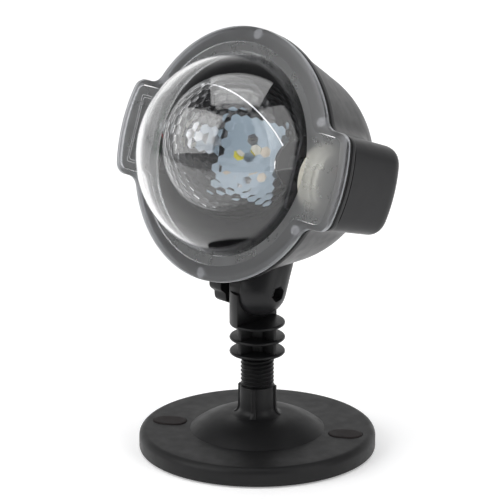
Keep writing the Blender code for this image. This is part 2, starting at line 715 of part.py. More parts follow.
def make_ball_hubs():
    drive_end = MOTOR_FACE - BALL_X - 2 * GAP
    turned("ball_drive_hub", hub_profile(SHAFT_RADIUS + GAP, DRIVE_NECK, drive_end), "black", SPIN,
           (0, 0, 0), ALONG_X, 24, True)
    bearing_end = POST_BRACKET_X + BALL_X - BRACKET_THICKNESS / 2 - 2 * GAP
    turned("ball_bearing_hub", hub_profile(BUSH_RADIUS + GAP, 7.4 * MM, bearing_end), "black", SPIN,
           (0, 0, 0), (0, math.radians(-90), 0), 24, True)


def make_motor_shaft():
    bm = bmesh.new()
    end = MOTOR_FACE - BALL_X - GAP
    add_rod(bm, SHAFT_RADIUS, (BALL_RADIUS - MM, 0, 0), (end, 0, 0), 16)
    finish(bm, "motor_shaft", "steel", SPIN)


# ---------------------------------------------------------------- fixed post, bush and brackets

def make_post_and_bush():
    axis = (0, BALL_Y, BALL_Z)
    turned("led_post", [(POST_BORE, -POST_INNER_END), (POST_RADIUS, -POST_INNER_END),
                        (POST_RADIUS, -POST_OUTER_END), (POST_BORE, -POST_OUTER_END)],
           "aluminium", HEAD, axis, ALONG_X, SMALL_ROUND, True)
    turned("ball_bush", [(POST_RADIUS + GAP, -37.5 * MM), (BUSH_RADIUS, -37.5 * MM),
                         (BUSH_RADIUS, -47 * MM), (POST_RADIUS + GAP, -47 * MM)],
           "cream", HEAD, axis, ALONG_X, SMALL_ROUND, True)


def make_bracket(name, side, plate_x, hole):
    """A bent plate: an upright across the spin axis and a foot screwed to two bosses."""
    depth = BRACKET_BACK - BRACKET_FRONT
    foot_x = (BOSS_X - 5 * MM, plate_x)
    bm = bmesh.new()
    add_box(bm, (BRACKET_THICKNESS, depth, 2 * BRACKET_HALF_HEIGHT),
            (side * plate_x, BRACKET_FRONT + depth / 2, 0))
    plate = finish(bm, name, "aluminium", HEAD)
    bm = bmesh.new()
    add_box(bm, (foot_x[1] - foot_x[0], BRACKET_THICKNESS, 2 * BRACKET_HALF_HEIGHT),
            (side * (foot_x[0] + foot_x[1]) / 2, BRACKET_BACK - BRACKET_THICKNESS / 2, 0))
    boolean(plate, finish(bm, name + "_foot", None, HEAD), "UNION")
    bm = bmesh.new()
    reach = side * (plate_x + 5 * MM)
    add_rod(bm, hole, (side * (plate_x - 5 * MM), BALL_Y, BALL_Z), (reach, BALL_Y, BALL_Z))
    for up in (-1, 1):
        add_rod(bm, 1.6 * MM, (side * BOSS_X, BRACKET_BACK - 5 * MM, up * BOSS_Z),
                (side * BOSS_X, BRACKET_BACK + GAP / 2, up * BOSS_Z), 12)
    boolean(plate, finish(bm, name + "_holes", None, HEAD))


def make_screw(name, seat, outward):
    """A pan head standing on its seat, with a shallow cross-head recess left out."""
    seat = Vector(seat)
    bm = bmesh.new()
    add_rod(bm, SCREW_HEAD, seat, seat + Vector(outward) * SCREW_HEAD_HEIGHT, 12, SCREW_HEAD * 0.65)
    finish(bm, name, "steel", HEAD)


def make_bracket_screws():
    """Four pan-head screws, one into each boss."""
    face = BRACKET_BACK - BRACKET_THICKNESS - GAP
    corners = [(side * BOSS_X, up * BOSS_Z) for side in (-1, 1) for up in (-1, 1)]
    for i, (x, z) in enumerate(corners):
        make_screw("bracket_screw_%d" % (i + 1), (x, face, z), (0, -1, 0))


# ---------------------------------------------------------------- motor

def make_motor():
    centre = (0, MOTOR_Y, MOTOR_Z)
    rear = MOTOR_FACE + MOTOR_LENGTH
    turned("motor_gearcase", [(0, rear), (MOTOR_RADIUS, rear), (MOTOR_RADIUS, MOTOR_FACE), (0, MOTOR_FACE)],
           "cream", HEAD, centre, ALONG_X, 32)
    cap = MOTOR_RADIUS - 1.0 * MM
    turned("motor_end_cap", [(0, rear + GAP + MOTOR_CAP_LENGTH), (cap - MM, rear + GAP + MOTOR_CAP_LENGTH),
                             (cap, rear + GAP + MOTOR_CAP_LENGTH - MM), (cap, rear + GAP), (0, rear + GAP)],
           "steel", HEAD, centre, ALONG_X, 32)


def make_motor_screws():
    """Two screws hold the gear case to the upright of its bracket."""
    face = BRACKET_X - BRACKET_THICKNESS / 2 - GAP
    for i, up in enumerate((-1, 1)):
        place = (face, MOTOR_Y + 4 * MM, MOTOR_Z + up * 12 * MM)
        make_screw("motor_screw_%d" % (i + 1), place, (-1, 0, 0))


# ---------------------------------------------------------------- light source

def rounded_square(size, corner):
    half = size / 2 - corner
    points = []
    for centre, start in (((half, half), 0), ((-half, half), 90), ((-half, -half), 180), ((half, -half), 270)):
        points += arc(centre, corner, start, start + 90, 3)
    return points


def make_led_board():
    back = LED_BOARD_FRONT + LED_BOARD_THICKNESS
    extruded("led_board", rounded_square(LED_BOARD, 2 * MM), LED_BOARD_FRONT, back, "board", HEAD,
             (0, 0, 0), ALONG_Y)
    face = LED_BOARD_FRONT - GAP
    for i, (x, z) in enumerate(((-5, 1), (-1, 1.5), (4, 3.5), (8.5, 5))):
        bm = bmesh.new()
        add_box(bm, (LED_CHIP, LED_CHIP_HEIGHT, LED_CHIP), (x * MM, face - LED_CHIP_HEIGHT / 2, z * MM))
        finish(bm, "led_chip_%d" % (i + 1), "phosphor", HEAD)
    for i, (x, z) in enumerate(((-1.5, 9.5), (1.5, -13))):
        make_screw("led_board_screw_%d" % (i + 1), (x * MM, face, z * MM), (0, -1, 0))


def make_heat_sink():
    """A comb: a base against the board and upright fins behind it."""
    front = LED_BOARD_FRONT + LED_BOARD_THICKNESS + GAP
    half = SINK_WIDTH / 2
    pitch = (SINK_WIDTH - SINK_FIN) / (SINK_FINS - 1)
    outline = [(half, front), (-half, front)]
    for i in range(SINK_FINS):
        x = -half + i * pitch
        outline += [(x, front + SINK_DEPTH), (x + SINK_FIN, front + SINK_DEPTH)]
        if i < SINK_FINS - 1:
            outline += [(x + SINK_FIN, front + SINK_BASE), (x + pitch, front + SINK_BASE)]
    extruded("heat_sink", outline, -half, half, "aluminium", HEAD)


def make_led_arm():
    """From the post's inner end back and across behind the heat sink."""
    back = LED_BOARD_FRONT + LED_BOARD_THICKNESS + SINK_DEPTH + 2 * GAP
    bm = bmesh.new()
    add_box(bm, (4 * MM, back + 1.6 * MM - BALL_Y + 7 * MM, 12 * MM),
            (-25 * MM, (back + 1.6 * MM + BALL_Y - 7 * MM) / 2, BALL_Z))
    arm = finish(bm, "led_arm", "aluminium", HEAD)
    bm = bmesh.new()
    add_box(bm, (32 * MM, 1.6 * MM, 10 * MM), (-10 * MM, back + 0.8 * MM, BALL_Z))
    boolean(arm, finish(bm, "led_arm_strip", None, HEAD), "UNION")
    bm = bmesh.new()
    add_rod(bm, POST_RADIUS + GAP, (-40 * MM, BALL_Y, BALL_Z), (-10 * MM, BALL_Y, BALL_Z))
    boolean(arm, finish(bm, "led_arm_hole", None, HEAD))


# ---------------------------------------------------------------- driver, wires and cable inlet

def make_driver():
    bm = bmesh.new()
    add_box(bm, (1.6 * MM, DRIVER_DEPTH, DRIVER_HEIGHT), (-DRIVER_X, DRIVER_Y, 0))
    finish(bm, "driver_board", "circuit", HEAD)
    face = -DRIVER_X + 0.8 * MM + GAP
    for i, (radius, height, ahead) in enumerate(((4, 8, -6), (3, 6, 5))):
        bm = bmesh.new()
        place = (DRIVER_Y + ahead * MM, 8 * MM)
        add_rod(bm, radius * MM, (face, *place), (face + height * MM, *place), 16)
        finish(bm, "driver_capacitor_%d" % (i + 1), "black", HEAD)
    for name, height, ahead, z in (("driver_chip", 3, -4, -4), ("driver_coil", 5, 6, -8)):
        bm = bmesh.new()
        add_box(bm, (height * MM, 7 * MM, 5 * MM), (face + height / 2 * MM, DRIVER_Y + ahead * MM, z * MM))
        finish(bm, name, "black", HEAD)


def make_wires():
    """Two leads from the motor's end cap and a pair from the post, all to the rear of the bowl."""
    rear = MOTOR_FACE + MOTOR_LENGTH + MOTOR_CAP_LENGTH
    for name, look, z in (("motor_wire_red", "red", 5), ("motor_wire_black", "black", 2.6)):
        start = (rear + 1.0 * MM, MOTOR_Y - 4 * MM, z * MM)
        wire(name, [start, (rear + 3.5 * MM, MOTOR_Y - 2 * MM, (z + 4) * MM),
                    (rear + 3.5 * MM, MOTOR_Y + 8 * MM, (z + 8) * MM), (57.5 * MM, 35.8 * MM, (z + 9) * MM),
                    (46.5 * MM, 39.2 * MM, (z + 3) * MM), (37 * MM, 48 * MM, z * MM),
                    (20 * MM, 62 * MM, z * MM)], 0.55 * MM, look, HEAD)
    wire("led_wires", [(-POST_OUTER_END - MM, BALL_Y, BALL_Z), (-60.2 * MM, BALL_Y + 5 * MM, -2 * MM),
                       (-57.5 * MM, 26 * MM, -9 * MM), (-53 * MM, 35.5 * MM, -8 * MM),
                       (-47.5 * MM, 39.3 * MM, -7 * MM), (-38 * MM, 48 * MM, -6 * MM),
                       (-20 * MM, 62 * MM, -6 * MM)], 1.0 * MM, "red", HEAD)


def make_cable_gland():
    """A screwed inlet in the rear wall, with a rubber seal under its cap."""
    place = (0, 0, GLAND_Z)
    inner = BOWL_REAR - HOUSING_WALL
    turned("cable_gland_body", [(3 * MM, BOWL_REAR + 8 * MM), (GLAND_RADIUS, BOWL_REAR + 8 * MM),
                                (GLAND_RADIUS, BOWL_REAR + 3 * MM), (9 * MM, BOWL_REAR + 3 * MM),
                                (9 * MM, BOWL_REAR + GAP), (GLAND_RADIUS, BOWL_REAR + GAP),
                                (GLAND_RADIUS, inner - 6 * MM), (3 * MM, inner - 6 * MM)],
           "black", HEAD, place, ALONG_Y, 24, True)
    nut = extruded("cable_gland_locknut", hexagon(15 * MM), inner - 4.5 * MM, inner - GAP, "black", HEAD,
                   place, ALONG_Y)
    bm = bmesh.new()
    add_rod(bm, GLAND_RADIUS + GAP, (0, 0, GLAND_Z), (0, BOWL_REAR, GLAND_Z), 24)
    boolean(nut, finish(bm, "locknut_bore", None, HEAD))
    start = BOWL_REAR + 3 * MM + GAP
    turned("cable_gland_cap", [(3.6 * MM, start + 11 * MM), (6 * MM, start + 11 * MM), (8.4 * MM, start + 7.5 * MM),
                               (8.4 * MM, start), (GLAND_RADIUS + GAP, start),
                               (GLAND_RADIUS + GAP, start + 8 * MM), (3.6 * MM, start + 9.5 * MM)],
           "black", HEAD, place, ALONG_Y, 24, True)
    turned("cable_gland_seal", [(0, BOWL_REAR + 7.5 * MM), (3 * MM - GAP, BOWL_REAR + 7.5 * MM),
                                (3 * MM - GAP, BOWL_REAR), (0, BOWL_REAR)],
           "rubber", HEAD, place, ALONG_Y, 16)


clear_scene()
PARTS = make_collection("light_projector")
CUTTERS = make_collection("cutters")
PAN = empty("pan_axis", (0, 0, 0))
HEAD_PIVOT = empty("tilt_axis", (0, HINGE_Y, HINGE_Z), PAN, -PITCH)
HEAD = empty("head_frame", (0, -FLANGE_AHEAD, FLANGE_ABOVE), HEAD_PIVOT)
KNOB = empty("knob_axis", (0, HINGE_Y, HINGE_Z), PAN)
SPIN = empty("spin_axis", (BALL_X, BALL_Y, BALL_Z), HEAD)

make_base_shell()
make_plugs()
make_ballast_and_pad()
make_stem()
make_tilt_fasteners()
make_tilt_nut()
make_front_cover()
make_gasket()
make_rear_housing()
BALL_PORTS = make_ball_ports()
make_ball_half("ball_front_half", False)
make_ball_half("ball_rear_half", True)
make_ball_hubs()
make_motor_shaft()
make_post_and_bush()
make_bracket("motor_bracket", 1, BRACKET_X, DRIVE_NECK + MM)
make_bracket("post_bracket", -1, POST_BRACKET_X, POST_RADIUS + GAP)
make_bracket_screws()
make_motor()
make_motor_screws()
make_led_board()
make_heat_sink()
make_led_arm()
make_driver()
make_wires()
make_cable_gland()
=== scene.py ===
"""Looks of the round-based light projector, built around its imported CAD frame.

Everything is in metres in the row frame.  The head's pieces are modelled in the head's own frame,
x across, y back from the flange's front face and z up, and placed by HEAD.
"""
import json
import math

import bmesh
import bpy
from mathutils import Matrix, Vector


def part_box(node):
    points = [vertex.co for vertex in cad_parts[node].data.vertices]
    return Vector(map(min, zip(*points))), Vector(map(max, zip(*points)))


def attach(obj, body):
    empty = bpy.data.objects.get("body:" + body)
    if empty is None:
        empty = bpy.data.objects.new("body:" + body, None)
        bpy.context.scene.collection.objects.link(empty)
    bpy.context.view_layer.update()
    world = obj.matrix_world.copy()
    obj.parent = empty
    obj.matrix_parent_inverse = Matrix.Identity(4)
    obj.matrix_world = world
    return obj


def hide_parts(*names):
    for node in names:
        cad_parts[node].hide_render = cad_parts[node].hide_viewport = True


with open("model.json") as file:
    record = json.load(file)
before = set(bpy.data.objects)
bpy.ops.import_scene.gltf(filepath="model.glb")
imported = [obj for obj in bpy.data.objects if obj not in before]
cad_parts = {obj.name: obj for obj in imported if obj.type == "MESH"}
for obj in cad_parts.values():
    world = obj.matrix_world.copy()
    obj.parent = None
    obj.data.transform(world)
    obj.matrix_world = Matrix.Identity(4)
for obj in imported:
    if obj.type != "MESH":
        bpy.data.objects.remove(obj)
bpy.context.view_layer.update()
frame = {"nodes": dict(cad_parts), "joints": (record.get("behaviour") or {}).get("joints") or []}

MM = 0.001
JOINTS = {joint["name"]: joint for joint in frame["joints"]}
HINGE = Vector(JOINTS["tilt"]["pos_m"])
SPIN = Vector(JOINTS["ball_spin"]["pos_m"])

# Head, in its own frame
PITCH = math.radians(19.39)
FLANGE_AHEAD = 47.9 * MM
FLANGE_ABOVE = 66.6 * MM
HEAD = (Matrix.Translation(HINGE) @ Matrix.Rotation(-PITCH, 4, "X")
        @ Matrix.Translation((0, -FLANGE_AHEAD, FLANGE_ABOVE)))
BALL = HEAD.inverted() @ SPIN
HINGE_LOCAL = Vector((0, FLANGE_AHEAD, -FLANGE_ABOVE))

FLANGE_RADIUS = 66.5 * MM
EAR_REACH = 80.0 * MM
EAR_HALF_HEIGHT = 25.5 * MM
EAR_CORNER = 7.0 * MM
EAR_FILLET = 8.0 * MM
COVER_SKIRT = 4.0 * MM
COVER_WALL = 2.2 * MM
DOME_RADIUS = 54.4 * MM
DOME_CENTRE = 10.5 * MM
DOME_WALL = 2.0 * MM
DOME_RINGS = 30
STEP_RADIUS = 58.4 * MM
STEP_REACH = 76.0 * MM
STEP_HALF_HEIGHT = 22.6 * MM
STEP_CORNER = 5.0 * MM
STEP_FILLET = 6.0 * MM
STEP_DEPTH = 0.8 * MM
BAND_WIDTH = 6.5 * MM
BAND_FALL = 1.3 * MM
BAND_POWER = 2.4
# Distances inside the flange's edge, in millimetres
BAND_INSETS = (3.2, 2.6, 2.0, 1.5, 1.1, 0.75)
EDGE_ROUND = 0.75 * MM
PEG_CIRCLE = 63.0 * MM
PEG_ANGLE = 26.4
PEG_HEAD = 2.6 * MM
PEG_PIN = 1.5 * MM
PEG_END = 8.4 * MM
# Left, right, low and high
EAR_LINES = (-69.5 * MM, -58.5 * MM, -18.4 * MM, 17.6 * MM)
EAR_LINE_GAP = 1.3 * MM
EAR_LINE_HALF = 0.16 * MM
EAR_LINE_PROUD = 0.22 * MM
EAR_LINE_CORNER = 1.2 * MM
GASKET_FRONT = 4.3 * MM
GASKET_BACK = 5.9 * MM
GASKET_WIDTH = 4.6 * MM
RIM_FRONT = 6.2 * MM
RIM_BACK = 9.2 * MM
RIM_INSET = 0.8 * MM
BOWL_MOUTH = 65.0 * MM
BOWL_SPHERE = 54.0 * MM
BOWL_CENTRE = 33.0 * MM
BOWL_REAR = 80.0 * MM
HOUSING_WALL = 2.4 * MM
EAR_REAR = 49.0 * MM
EAR_DRAFT = 1.6 * MM
EAR_END_BLEND = 8 * MM
EAR_REAR_BLEND = 7 * MM
EAR_JOINT_BLEND = 6 * MM
BOWL_REAR_BLEND = 4 * MM
LAST_RISE = math.radians(89.4)
SEARCH_FROM = 20 * MM
SEARCH_TO = 110 * MM
HALVINGS = 17
BOSS_X = 38 * MM
BOSS_Z = 14 * MM
BOSS_RADIUS = 3.5 * MM
BOSS_FRONT = 36.2 * MM
BOSS_BACK = 62.5 * MM
LUG_RADIUS = 14.5 * MM
LUG_RISE = 22.6 * MM
LUG_INNER = 0.1 * MM
POCKET_ACROSS = 7.7 * MM
POCKET_FLOOR = 4.5 * MM
SCREW_HOLE = 2.3 * MM

# Lens ball
BALL_RADIUS = 38.5 * MM
BALL_WALL = 2.0 * MM
LENS_FREQUENCY = 9
LENS_SAG = 0.22 * MM
# Shares of the cell's width and of its sag
LENS_RINGS = ((0.86, 0.26), (0.62, 0.62), (0.32, 0.9))
BALL_PORT = 9.0 * MM
BALL_SPLIT = math.radians(131.0)
SEAM = 0.05 * MM

# Light board
BOARD_FRONT = 16.0 * MM
BOARD_SIZE = 42.0 * MM
BOARD_THICKNESS = 1.6 * MM
BOARD_EDGE = 0.25 * MM
# x and z of each chip, in millimetres
CHIPS = ((-5, 1), (-1, 1.5), (4, 3.5), (8.5, 5))
CHIP_SIZE = 3.5 * MM
CHIP_THICKNESS = 0.7 * MM
CHIP_LENS = 1.45 * MM
CHIP_LENS_RISE = 0.55 * MM

# Stand and stem
BASE_RADIUS = 62.5 * MM
BASE_TOP = 10.7 * MM
BASE_EDGE = 3.6 * MM
BASE_FOOT = 0.8 * MM
BELL_RADIUS = 35.5 * MM
HUB_FOOT = 19.0 * MM
HUB_TOP = 35.0 * MM
HUB_RADIUS = 9.2 * MM
HUB_BORE = 7.6 * MM
RIB_REACH = 10.2 * MM
RIB_WIDTH = 2.6 * MM
RIB_EDGE = 0.4 * MM
STAND_TURN = math.radians(32.5)
SLOT_CENTRE = 47.5 * MM
SLOT_LENGTH = 18.0 * MM
SLOT_WIDTH = 13.0 * MM
PLUG_PROUD = 0.4 * MM
PLUG_BOTTOM = 9.2 * MM
SLOT_CLEARANCE = 0.5 * MM
SKIRT = 2.4 * MM
BELL_POWER = 2.2
HUB_FILLET = 4.2 * MM
FIN_RADIUS = 14.65 * MM
FIN_THICKNESS = 1.8 * MM
FIN_HEIGHTS = (53.7 * MM, 61.5 * MM, 69.6 * MM)
STEM_CORE = 5.5 * MM
WEB_REACH = 13.4 * MM
WEB_THICKNESS = 2.2 * MM
THREAD_RADIUS = 8.85 * MM
THREAD_ROOT = 7.9 * MM
THREAD_PITCH = 2.25 * MM
SPIGOT_RADIUS = 7.2 * MM
SPIGOT_FOOT = 14 * MM
CHEEK_INNER = 0.2 * MM
CHEEK_TOP = 13.6 * MM
CHEEK_SHOULDER = 3.5 * MM
KNOB_RADIUS = 12.0 * MM
KNOB_LOBES = 6
KNOB_LOBE_DEPTH = 2.2 * MM
KNOB_EDGE = 1.2 * MM
KNOB_CAP = 0.66
KNOB_INNER = 16.4 * MM
KNOB_OUTER = 25.6 * MM

# Camera, floor and lights
CAMERA_AZIMUTH = 44.79
CAMERA_ELEVATION = 18.03
CAMERA_DISTANCE = 2.133
CAMERA_TARGET = Vector((0, 0, 0.10927))
CAMERA_LENS = 294.2
CAMERA_SHIFT = -0.0146
FLOOR_SIZE = 6.0
FLOOR_DRIFT = 0.2
FLOOR_GLOW = 0.3
LIGHT_TARGET = Vector((0, 0, 0.15))


# ---- shader nodes

# Sizes of the materials' noise, and the range that most noise lies in
NOISE_LOW = 0.3
NOISE_HIGH = 0.7
COLOUR_DRIFT = 14 * MM
GLOSS_DRIFT = 6 * MM
GLOSS_SPREAD = 0.04
BRUSH_LINES = 1.2 * MM
BRUSH_STRETCH = (1, 1, 12)
TINT_DRIFT = 20 * MM
HAZE_DRIFT = 8 * MM
FLOW_RIPPLE = 9 * MM
PLASTIC_IOR = 1.49


def new_material(name):
    made = bpy.data.materials.new(name)
    made.use_nodes = True
    return made, made.node_tree.nodes, made.node_tree.links, made.node_tree.nodes["Principled BSDF"]


def noise(nodes, links, size, detail=3.0, stretch=None):
    """Noise whose features are about one size across, fixed to the piece."""
    coordinates = nodes.new("ShaderNodeTexCoord")
    texture = nodes.new("ShaderNodeTexNoise")
    texture.inputs["Scale"].default_value = 1.0 / size
    texture.inputs["Detail"].default_value = detail
    if stretch is None:
        links.new(coordinates.outputs["Object"], texture.inputs["Vector"])
    else:
        mapping = nodes.new("ShaderNodeMapping")
        mapping.inputs["Scale"].default_value = stretch
        links.new(coordinates.outputs["Object"], mapping.inputs["Vector"])
        links.new(mapping.outputs["Vector"], texture.inputs["Vector"])
    return texture.outputs["Fac"]


def spread(nodes, links, value, low, high):
    """A noise value spread over a range; most noise lies between NOISE_LOW and NOISE_HIGH."""
    ranged = nodes.new("ShaderNodeMapRange")
    ranged.inputs["From Min"].default_value = NOISE_LOW
    ranged.inputs["From Max"].default_value = NOISE_HIGH
    ranged.inputs["To Min"].default_value = low
    ranged.inputs["To Max"].default_value = high
    links.new(value, ranged.inputs["Value"])
    return ranged.outputs["Result"]


def blend_colours(nodes, links, value, first, second):
    mix = nodes.new("ShaderNodeMix")
    mix.data_type = "RGBA"
    links.new(value, mix.inputs["Factor"])
    mix.inputs["A"].default_value = (*first, 1)
    mix.inputs["B"].default_value = (*second, 1)
    return mix.outputs["Result"]


def bump(nodes, links, shader, height, distance, strength):
    node = nodes.new("ShaderNodeBump")
    node.inputs["Distance"].default_value = distance
    node.inputs["Strength"].default_value = strength
    links.new(height, node.inputs["Height"])
    links.new(node.outputs["Normal"], shader.inputs["Normal"])


def moulded(name, colour, roughness, grain=0.5 * MM, depth=0.02 * MM, specular=0.35, vary=0.12):
    """Injection-moulded plastic: a fine spark-eroded grain, and a slow drift in colour and gloss."""
    made, nodes, links, shader = new_material(name)
    drift = spread(nodes, links, noise(nodes, links, COLOUR_DRIFT), 0, 1)
    dark = tuple(c * (1 - vary) for c in colour)
    light = tuple(c * (1 + vary) for c in colour)
    links.new(blend_colours(nodes, links, drift, dark, light), shader.inputs["Base Color"])
    patch = noise(nodes, links, GLOSS_DRIFT)
    gloss = spread(nodes, links, patch, roughness - GLOSS_SPREAD, roughness + GLOSS_SPREAD)
    links.new(gloss, shader.inputs["Roughness"])
    shader.inputs["Specular IOR Level"].default_value = specular
    bump(nodes, links, shader, noise(nodes, links, grain, 4), depth, 0.6)
    return made


def metal(name, colour, roughness):
    """Brushed or plated metal: fine lines along one direction."""
    made, nodes, links, shader = new_material(name)
    lines = noise(nodes, links, BRUSH_LINES, 4, BRUSH_STRETCH)
    tone = spread(nodes, links, lines, 0, 1)
    dark = tuple(c * 0.86 for c in colour)
    links.new(blend_colours(nodes, links, tone, dark, colour), shader.inputs["Base Color"])
    links.new(spread(nodes, links, lines, roughness - 0.06, roughness + 0.08), shader.inputs["Roughness"])
    shader.inputs["Metallic"].default_value = 1.0
    bump(nodes, links, shader, lines, 0.01 * MM, 0.5)
    return made


def clear(name, colour, roughness, ripple, shade, weight=1.0):
    """Clear moulded plastic with a faint flow ripple; its shadow lets a share of the light through."""
    made, nodes, links, shader = new_material(name)
    shader.inputs["Transmission Weight"].default_value = weight
    shader.inputs["IOR"].default_value = PLASTIC_IOR
    tone = spread(nodes, links, noise(nodes, links, TINT_DRIFT), 0, 1)
    pale = tuple(min(1.0, c * 1.03) for c in colour)
    links.new(blend_colours(nodes, links, tone, colour, pale), shader.inputs["Base Color"])
    patch = noise(nodes, links, HAZE_DRIFT)
    links.new(spread(nodes, links, patch, roughness[0], roughness[1]), shader.inputs["Roughness"])
    bump(nodes, links, shader, noise(nodes, links, FLOW_RIPPLE, 1), ripple, 0.4)
    passing = nodes.new("ShaderNodeBsdfTransparent")
    passing.inputs["Color"].default_value = (shade, shade, shade, 1)
    path = nodes.new("ShaderNodeLightPath")
    mix = nodes.new("ShaderNodeMixShader")
    links.new(path.outputs["Is Shadow Ray"], mix.inputs["Fac"])
    links.new(shader.outputs["BSDF"], mix.inputs[1])
    links.new(passing.outputs["BSDF"], mix.inputs[2])
    links.new(mix.outputs["Shader"], nodes["Material Output"].inputs["Surface"])
    return made


MATERIALS = {
    "housing": moulded("housing_charcoal", (0.013, 0.013, 0.014), 0.36, 0.45 * MM, 0.008 * MM, 0.26, 0.08),
    "inside": moulded("housing_inside", (0.010, 0.010, 0.011), 0.5, 0.6 * MM, 0.02 * MM, 0.2),
    "stand": moulded("stand_black", (0.009, 0.009, 0.0095), 0.46, 0.4 * MM, 0.02 * MM, 0.25),
    "stem": moulded("stem_black", (0.006, 0.006, 0.0065), 0.38, 0.5 * MM, 0.015 * MM, 0.25),
    "plug": moulded("plug_brown_black", (0.013, 0.009, 0.009), 0.6, 0.5 * MM, 0.03 * MM, 0.2),
    "rubber": moulded("seal_rubber", (0.010, 0.010, 0.010), 0.7, 0.5 * MM, 0.03 * MM, 0.2),
    "cream": moulded("motor_cream", (0.66, 0.64, 0.55), 0.45, 0.6 * MM, 0.02 * MM, 0.4, 0.05),
    "steel": metal("zinc_steel", (0.55, 0.55, 0.57), 0.3),
    "aluminium": metal("aluminium", (0.74, 0.75, 0.77), 0.35),
    "board": moulded("led_board_white", (0.40, 0.50, 0.58), 0.4, 0.8 * MM, 0.01 * MM, 0.5, 0.04),
    "copper": metal("tinned_copper", (0.62, 0.55, 0.45), 0.35),
    "phosphor": moulded("phosphor_yellow", (0.82, 0.72, 0.06), 0.25, 0.3 * MM, 0.01 * MM, 0.5, 0.06),
    "ceramic": moulded("chip_ceramic", (0.72, 0.70, 0.62), 0.4, 0.3 * MM, 0.01 * MM, 0.5, 0.05),
    "circuit": moulded("circuit_green", (0.02, 0.13, 0.05), 0.35, 0.7 * MM, 0.02 * MM, 0.5, 0.2),
    "component": moulded("component_black", (0.015, 0.015, 0.016), 0.4),
    "red": moulded("wire_red", (0.45, 0.015, 0.015), 0.35, 0.6 * MM, 0.01 * MM, 0.5),
    "black": moulded("wire_black", (0.012, 0.012, 0.012), 0.35, 0.6 * MM, 0.01 * MM, 0.5),
    "dome": clear("clear_dome", (0.97, 0.975, 0.98), (0.0, 0.015), 0.01 * MM, 0.7),
    "panel": clear("flange_panel", (0.70, 0.71, 0.72), (0.26, 0.3), 0.004 * MM, 0.7, 0.97),
    "frosted": clear("frosted_flange", (0.47, 0.48, 0.50), (0.3, 0.34), 0.004 * MM, 0.5),
    "lens": clear("lens_clear", (0.96, 0.965, 0.98), (0.0, 0.02), 0.01 * MM, 0.6),
    # Painted light: opaque pale grey on clear pegs and ear lines, standing in for the light these clear parts
    # catch behind the flange
    "peg": moulded("peg_painted_light", (0.42, 0.42, 0.43), 0.4, 0.5 * MM, 0.01 * MM, 0.4, 0.04),
    # Painted shade: near-black colour on the metal brackets, standing in for the shade inside the head around
    # the motor
    "bracket_painted_shade": metal("dark_bracket_painted_shade", (0.035, 0.035, 0.038), 0.4),
}


# ---- mesh tools

# The least share of a corner's normal that lies along its edges' normals
SHARPEST_CORNER = 0.6


def arc(centre, radius, start, end, count):
    """Points on an arc between two angles in degrees, both ends included."""
    angles = [math.radians(start + (end - start) * i / (count - 1)) for i in range(count)]
    return [(centre[0] + radius * math.cos(a), centre[1] + radius * math.sin(a)) for a in angles]


def loft(bm, loops, closed=False, slots=None):
    """Join equal loops of points in order, closed by end faces or into a ring; slots gives materials."""
    rings = [[bm.verts.new(point) for point in loop] for loop in loops]
    pairs = list(zip(rings, rings[1:]))
    if closed:
        pairs.append((rings[-1], rings[0]))
    for step, (ring, following) in enumerate(pairs):
        for i in range(len(ring)):
            j = (i + 1) % len(ring)
            face = bm.faces.new((ring[i], ring[j], following[j], following[i]))
            face.material_index = slots[step] if slots else 0
    if not closed:
        bm.faces.new(rings[0]).material_index = slots[0] if slots else 0
        bm.faces.new(list(reversed(rings[-1]))).material_index = slots[-1] if slots else 0


def recolour(bm, first):
    """Give the second material to the faces from the first one on."""
    bm.faces.ensure_lookup_table()
    for face in bm.faces[first:]:
        face.material_index = 1


def circle(radius, height, steps):
    angles = [2 * math.pi * i / steps for i in range(steps)]
    return [(radius * math.cos(angle), radius * math.sin(angle), height) for angle in angles]


def lathe(bm, profile, steps=96, place=None, closed=False, slots=None):
    """Revolve (radius, height) points about Z; a radius of 0 becomes a very small ring and a cap."""
    loops = [circle(max(radius, 0.01 * MM), height, steps) for radius, height in profile]
    if place is not None:
        loops = [place_by(loop, place) for loop in loops]
    loft(bm, loops, closed, slots)


def rod(bm, radius, start, end, steps=24, round_by=0.0):
    """A round bar between two points, with its far edge rounded."""
    start = Vector(start)
    along = Vector(end) - start
    place = Matrix.Translation(start) @ along.to_track_quat("Z", "Y").to_matrix().to_4x4()
    length = along.length
    profile = [(radius, 0), (radius, length - round_by)]
    if round_by:
        profile += arc((radius - round_by, length - round_by), round_by, 0, 90, 5)[1:]
    lathe(bm, profile, steps, place)


def rounded_rectangle(wide, tall, corner, count=7, grow=0.0, middle=(0, 0)):
    """A rectangle with round corners, about its middle; its edge can be moved out."""
    points = []
    for sx, sz, start in ((1, 1, 0), (-1, 1, 90), (-1, -1, 180), (1, -1, 270)):
        centre = (middle[0] + sx * (wide / 2 - corner), middle[1] + sz * (tall / 2 - corner))
        points += arc(centre, corner + grow, start, start + 90, count)
    return points


def inset_outline(outline, inset):
    """Move each point of a closed outline in along the mean normal of its two edges."""
    count = len(outline)
    area = sum(outline[i][0] * outline[(i + 1) % count][1] - outline[(i + 1) % count][0] * outline[i][1]
               for i in range(count))
    side = 1 if area > 0 else -1
    moved = []
    for i in range(count):
        before = Vector(outline[i]) - Vector(outline[i - 1])
        after = Vector(outline[(i + 1) % count]) - Vector(outline[i])
        before.normalize()
        after.normalize()
        along = before + after
        along.normalize()
        inward = Vector((-along.y, along.x)) * side
        stretch = 1 / max(SHARPEST_CORNER, inward.dot(Vector((-after.y, after.x)) * side))
        moved.append(tuple(Vector(outline[i]) + inward * inset * stretch))
    return moved


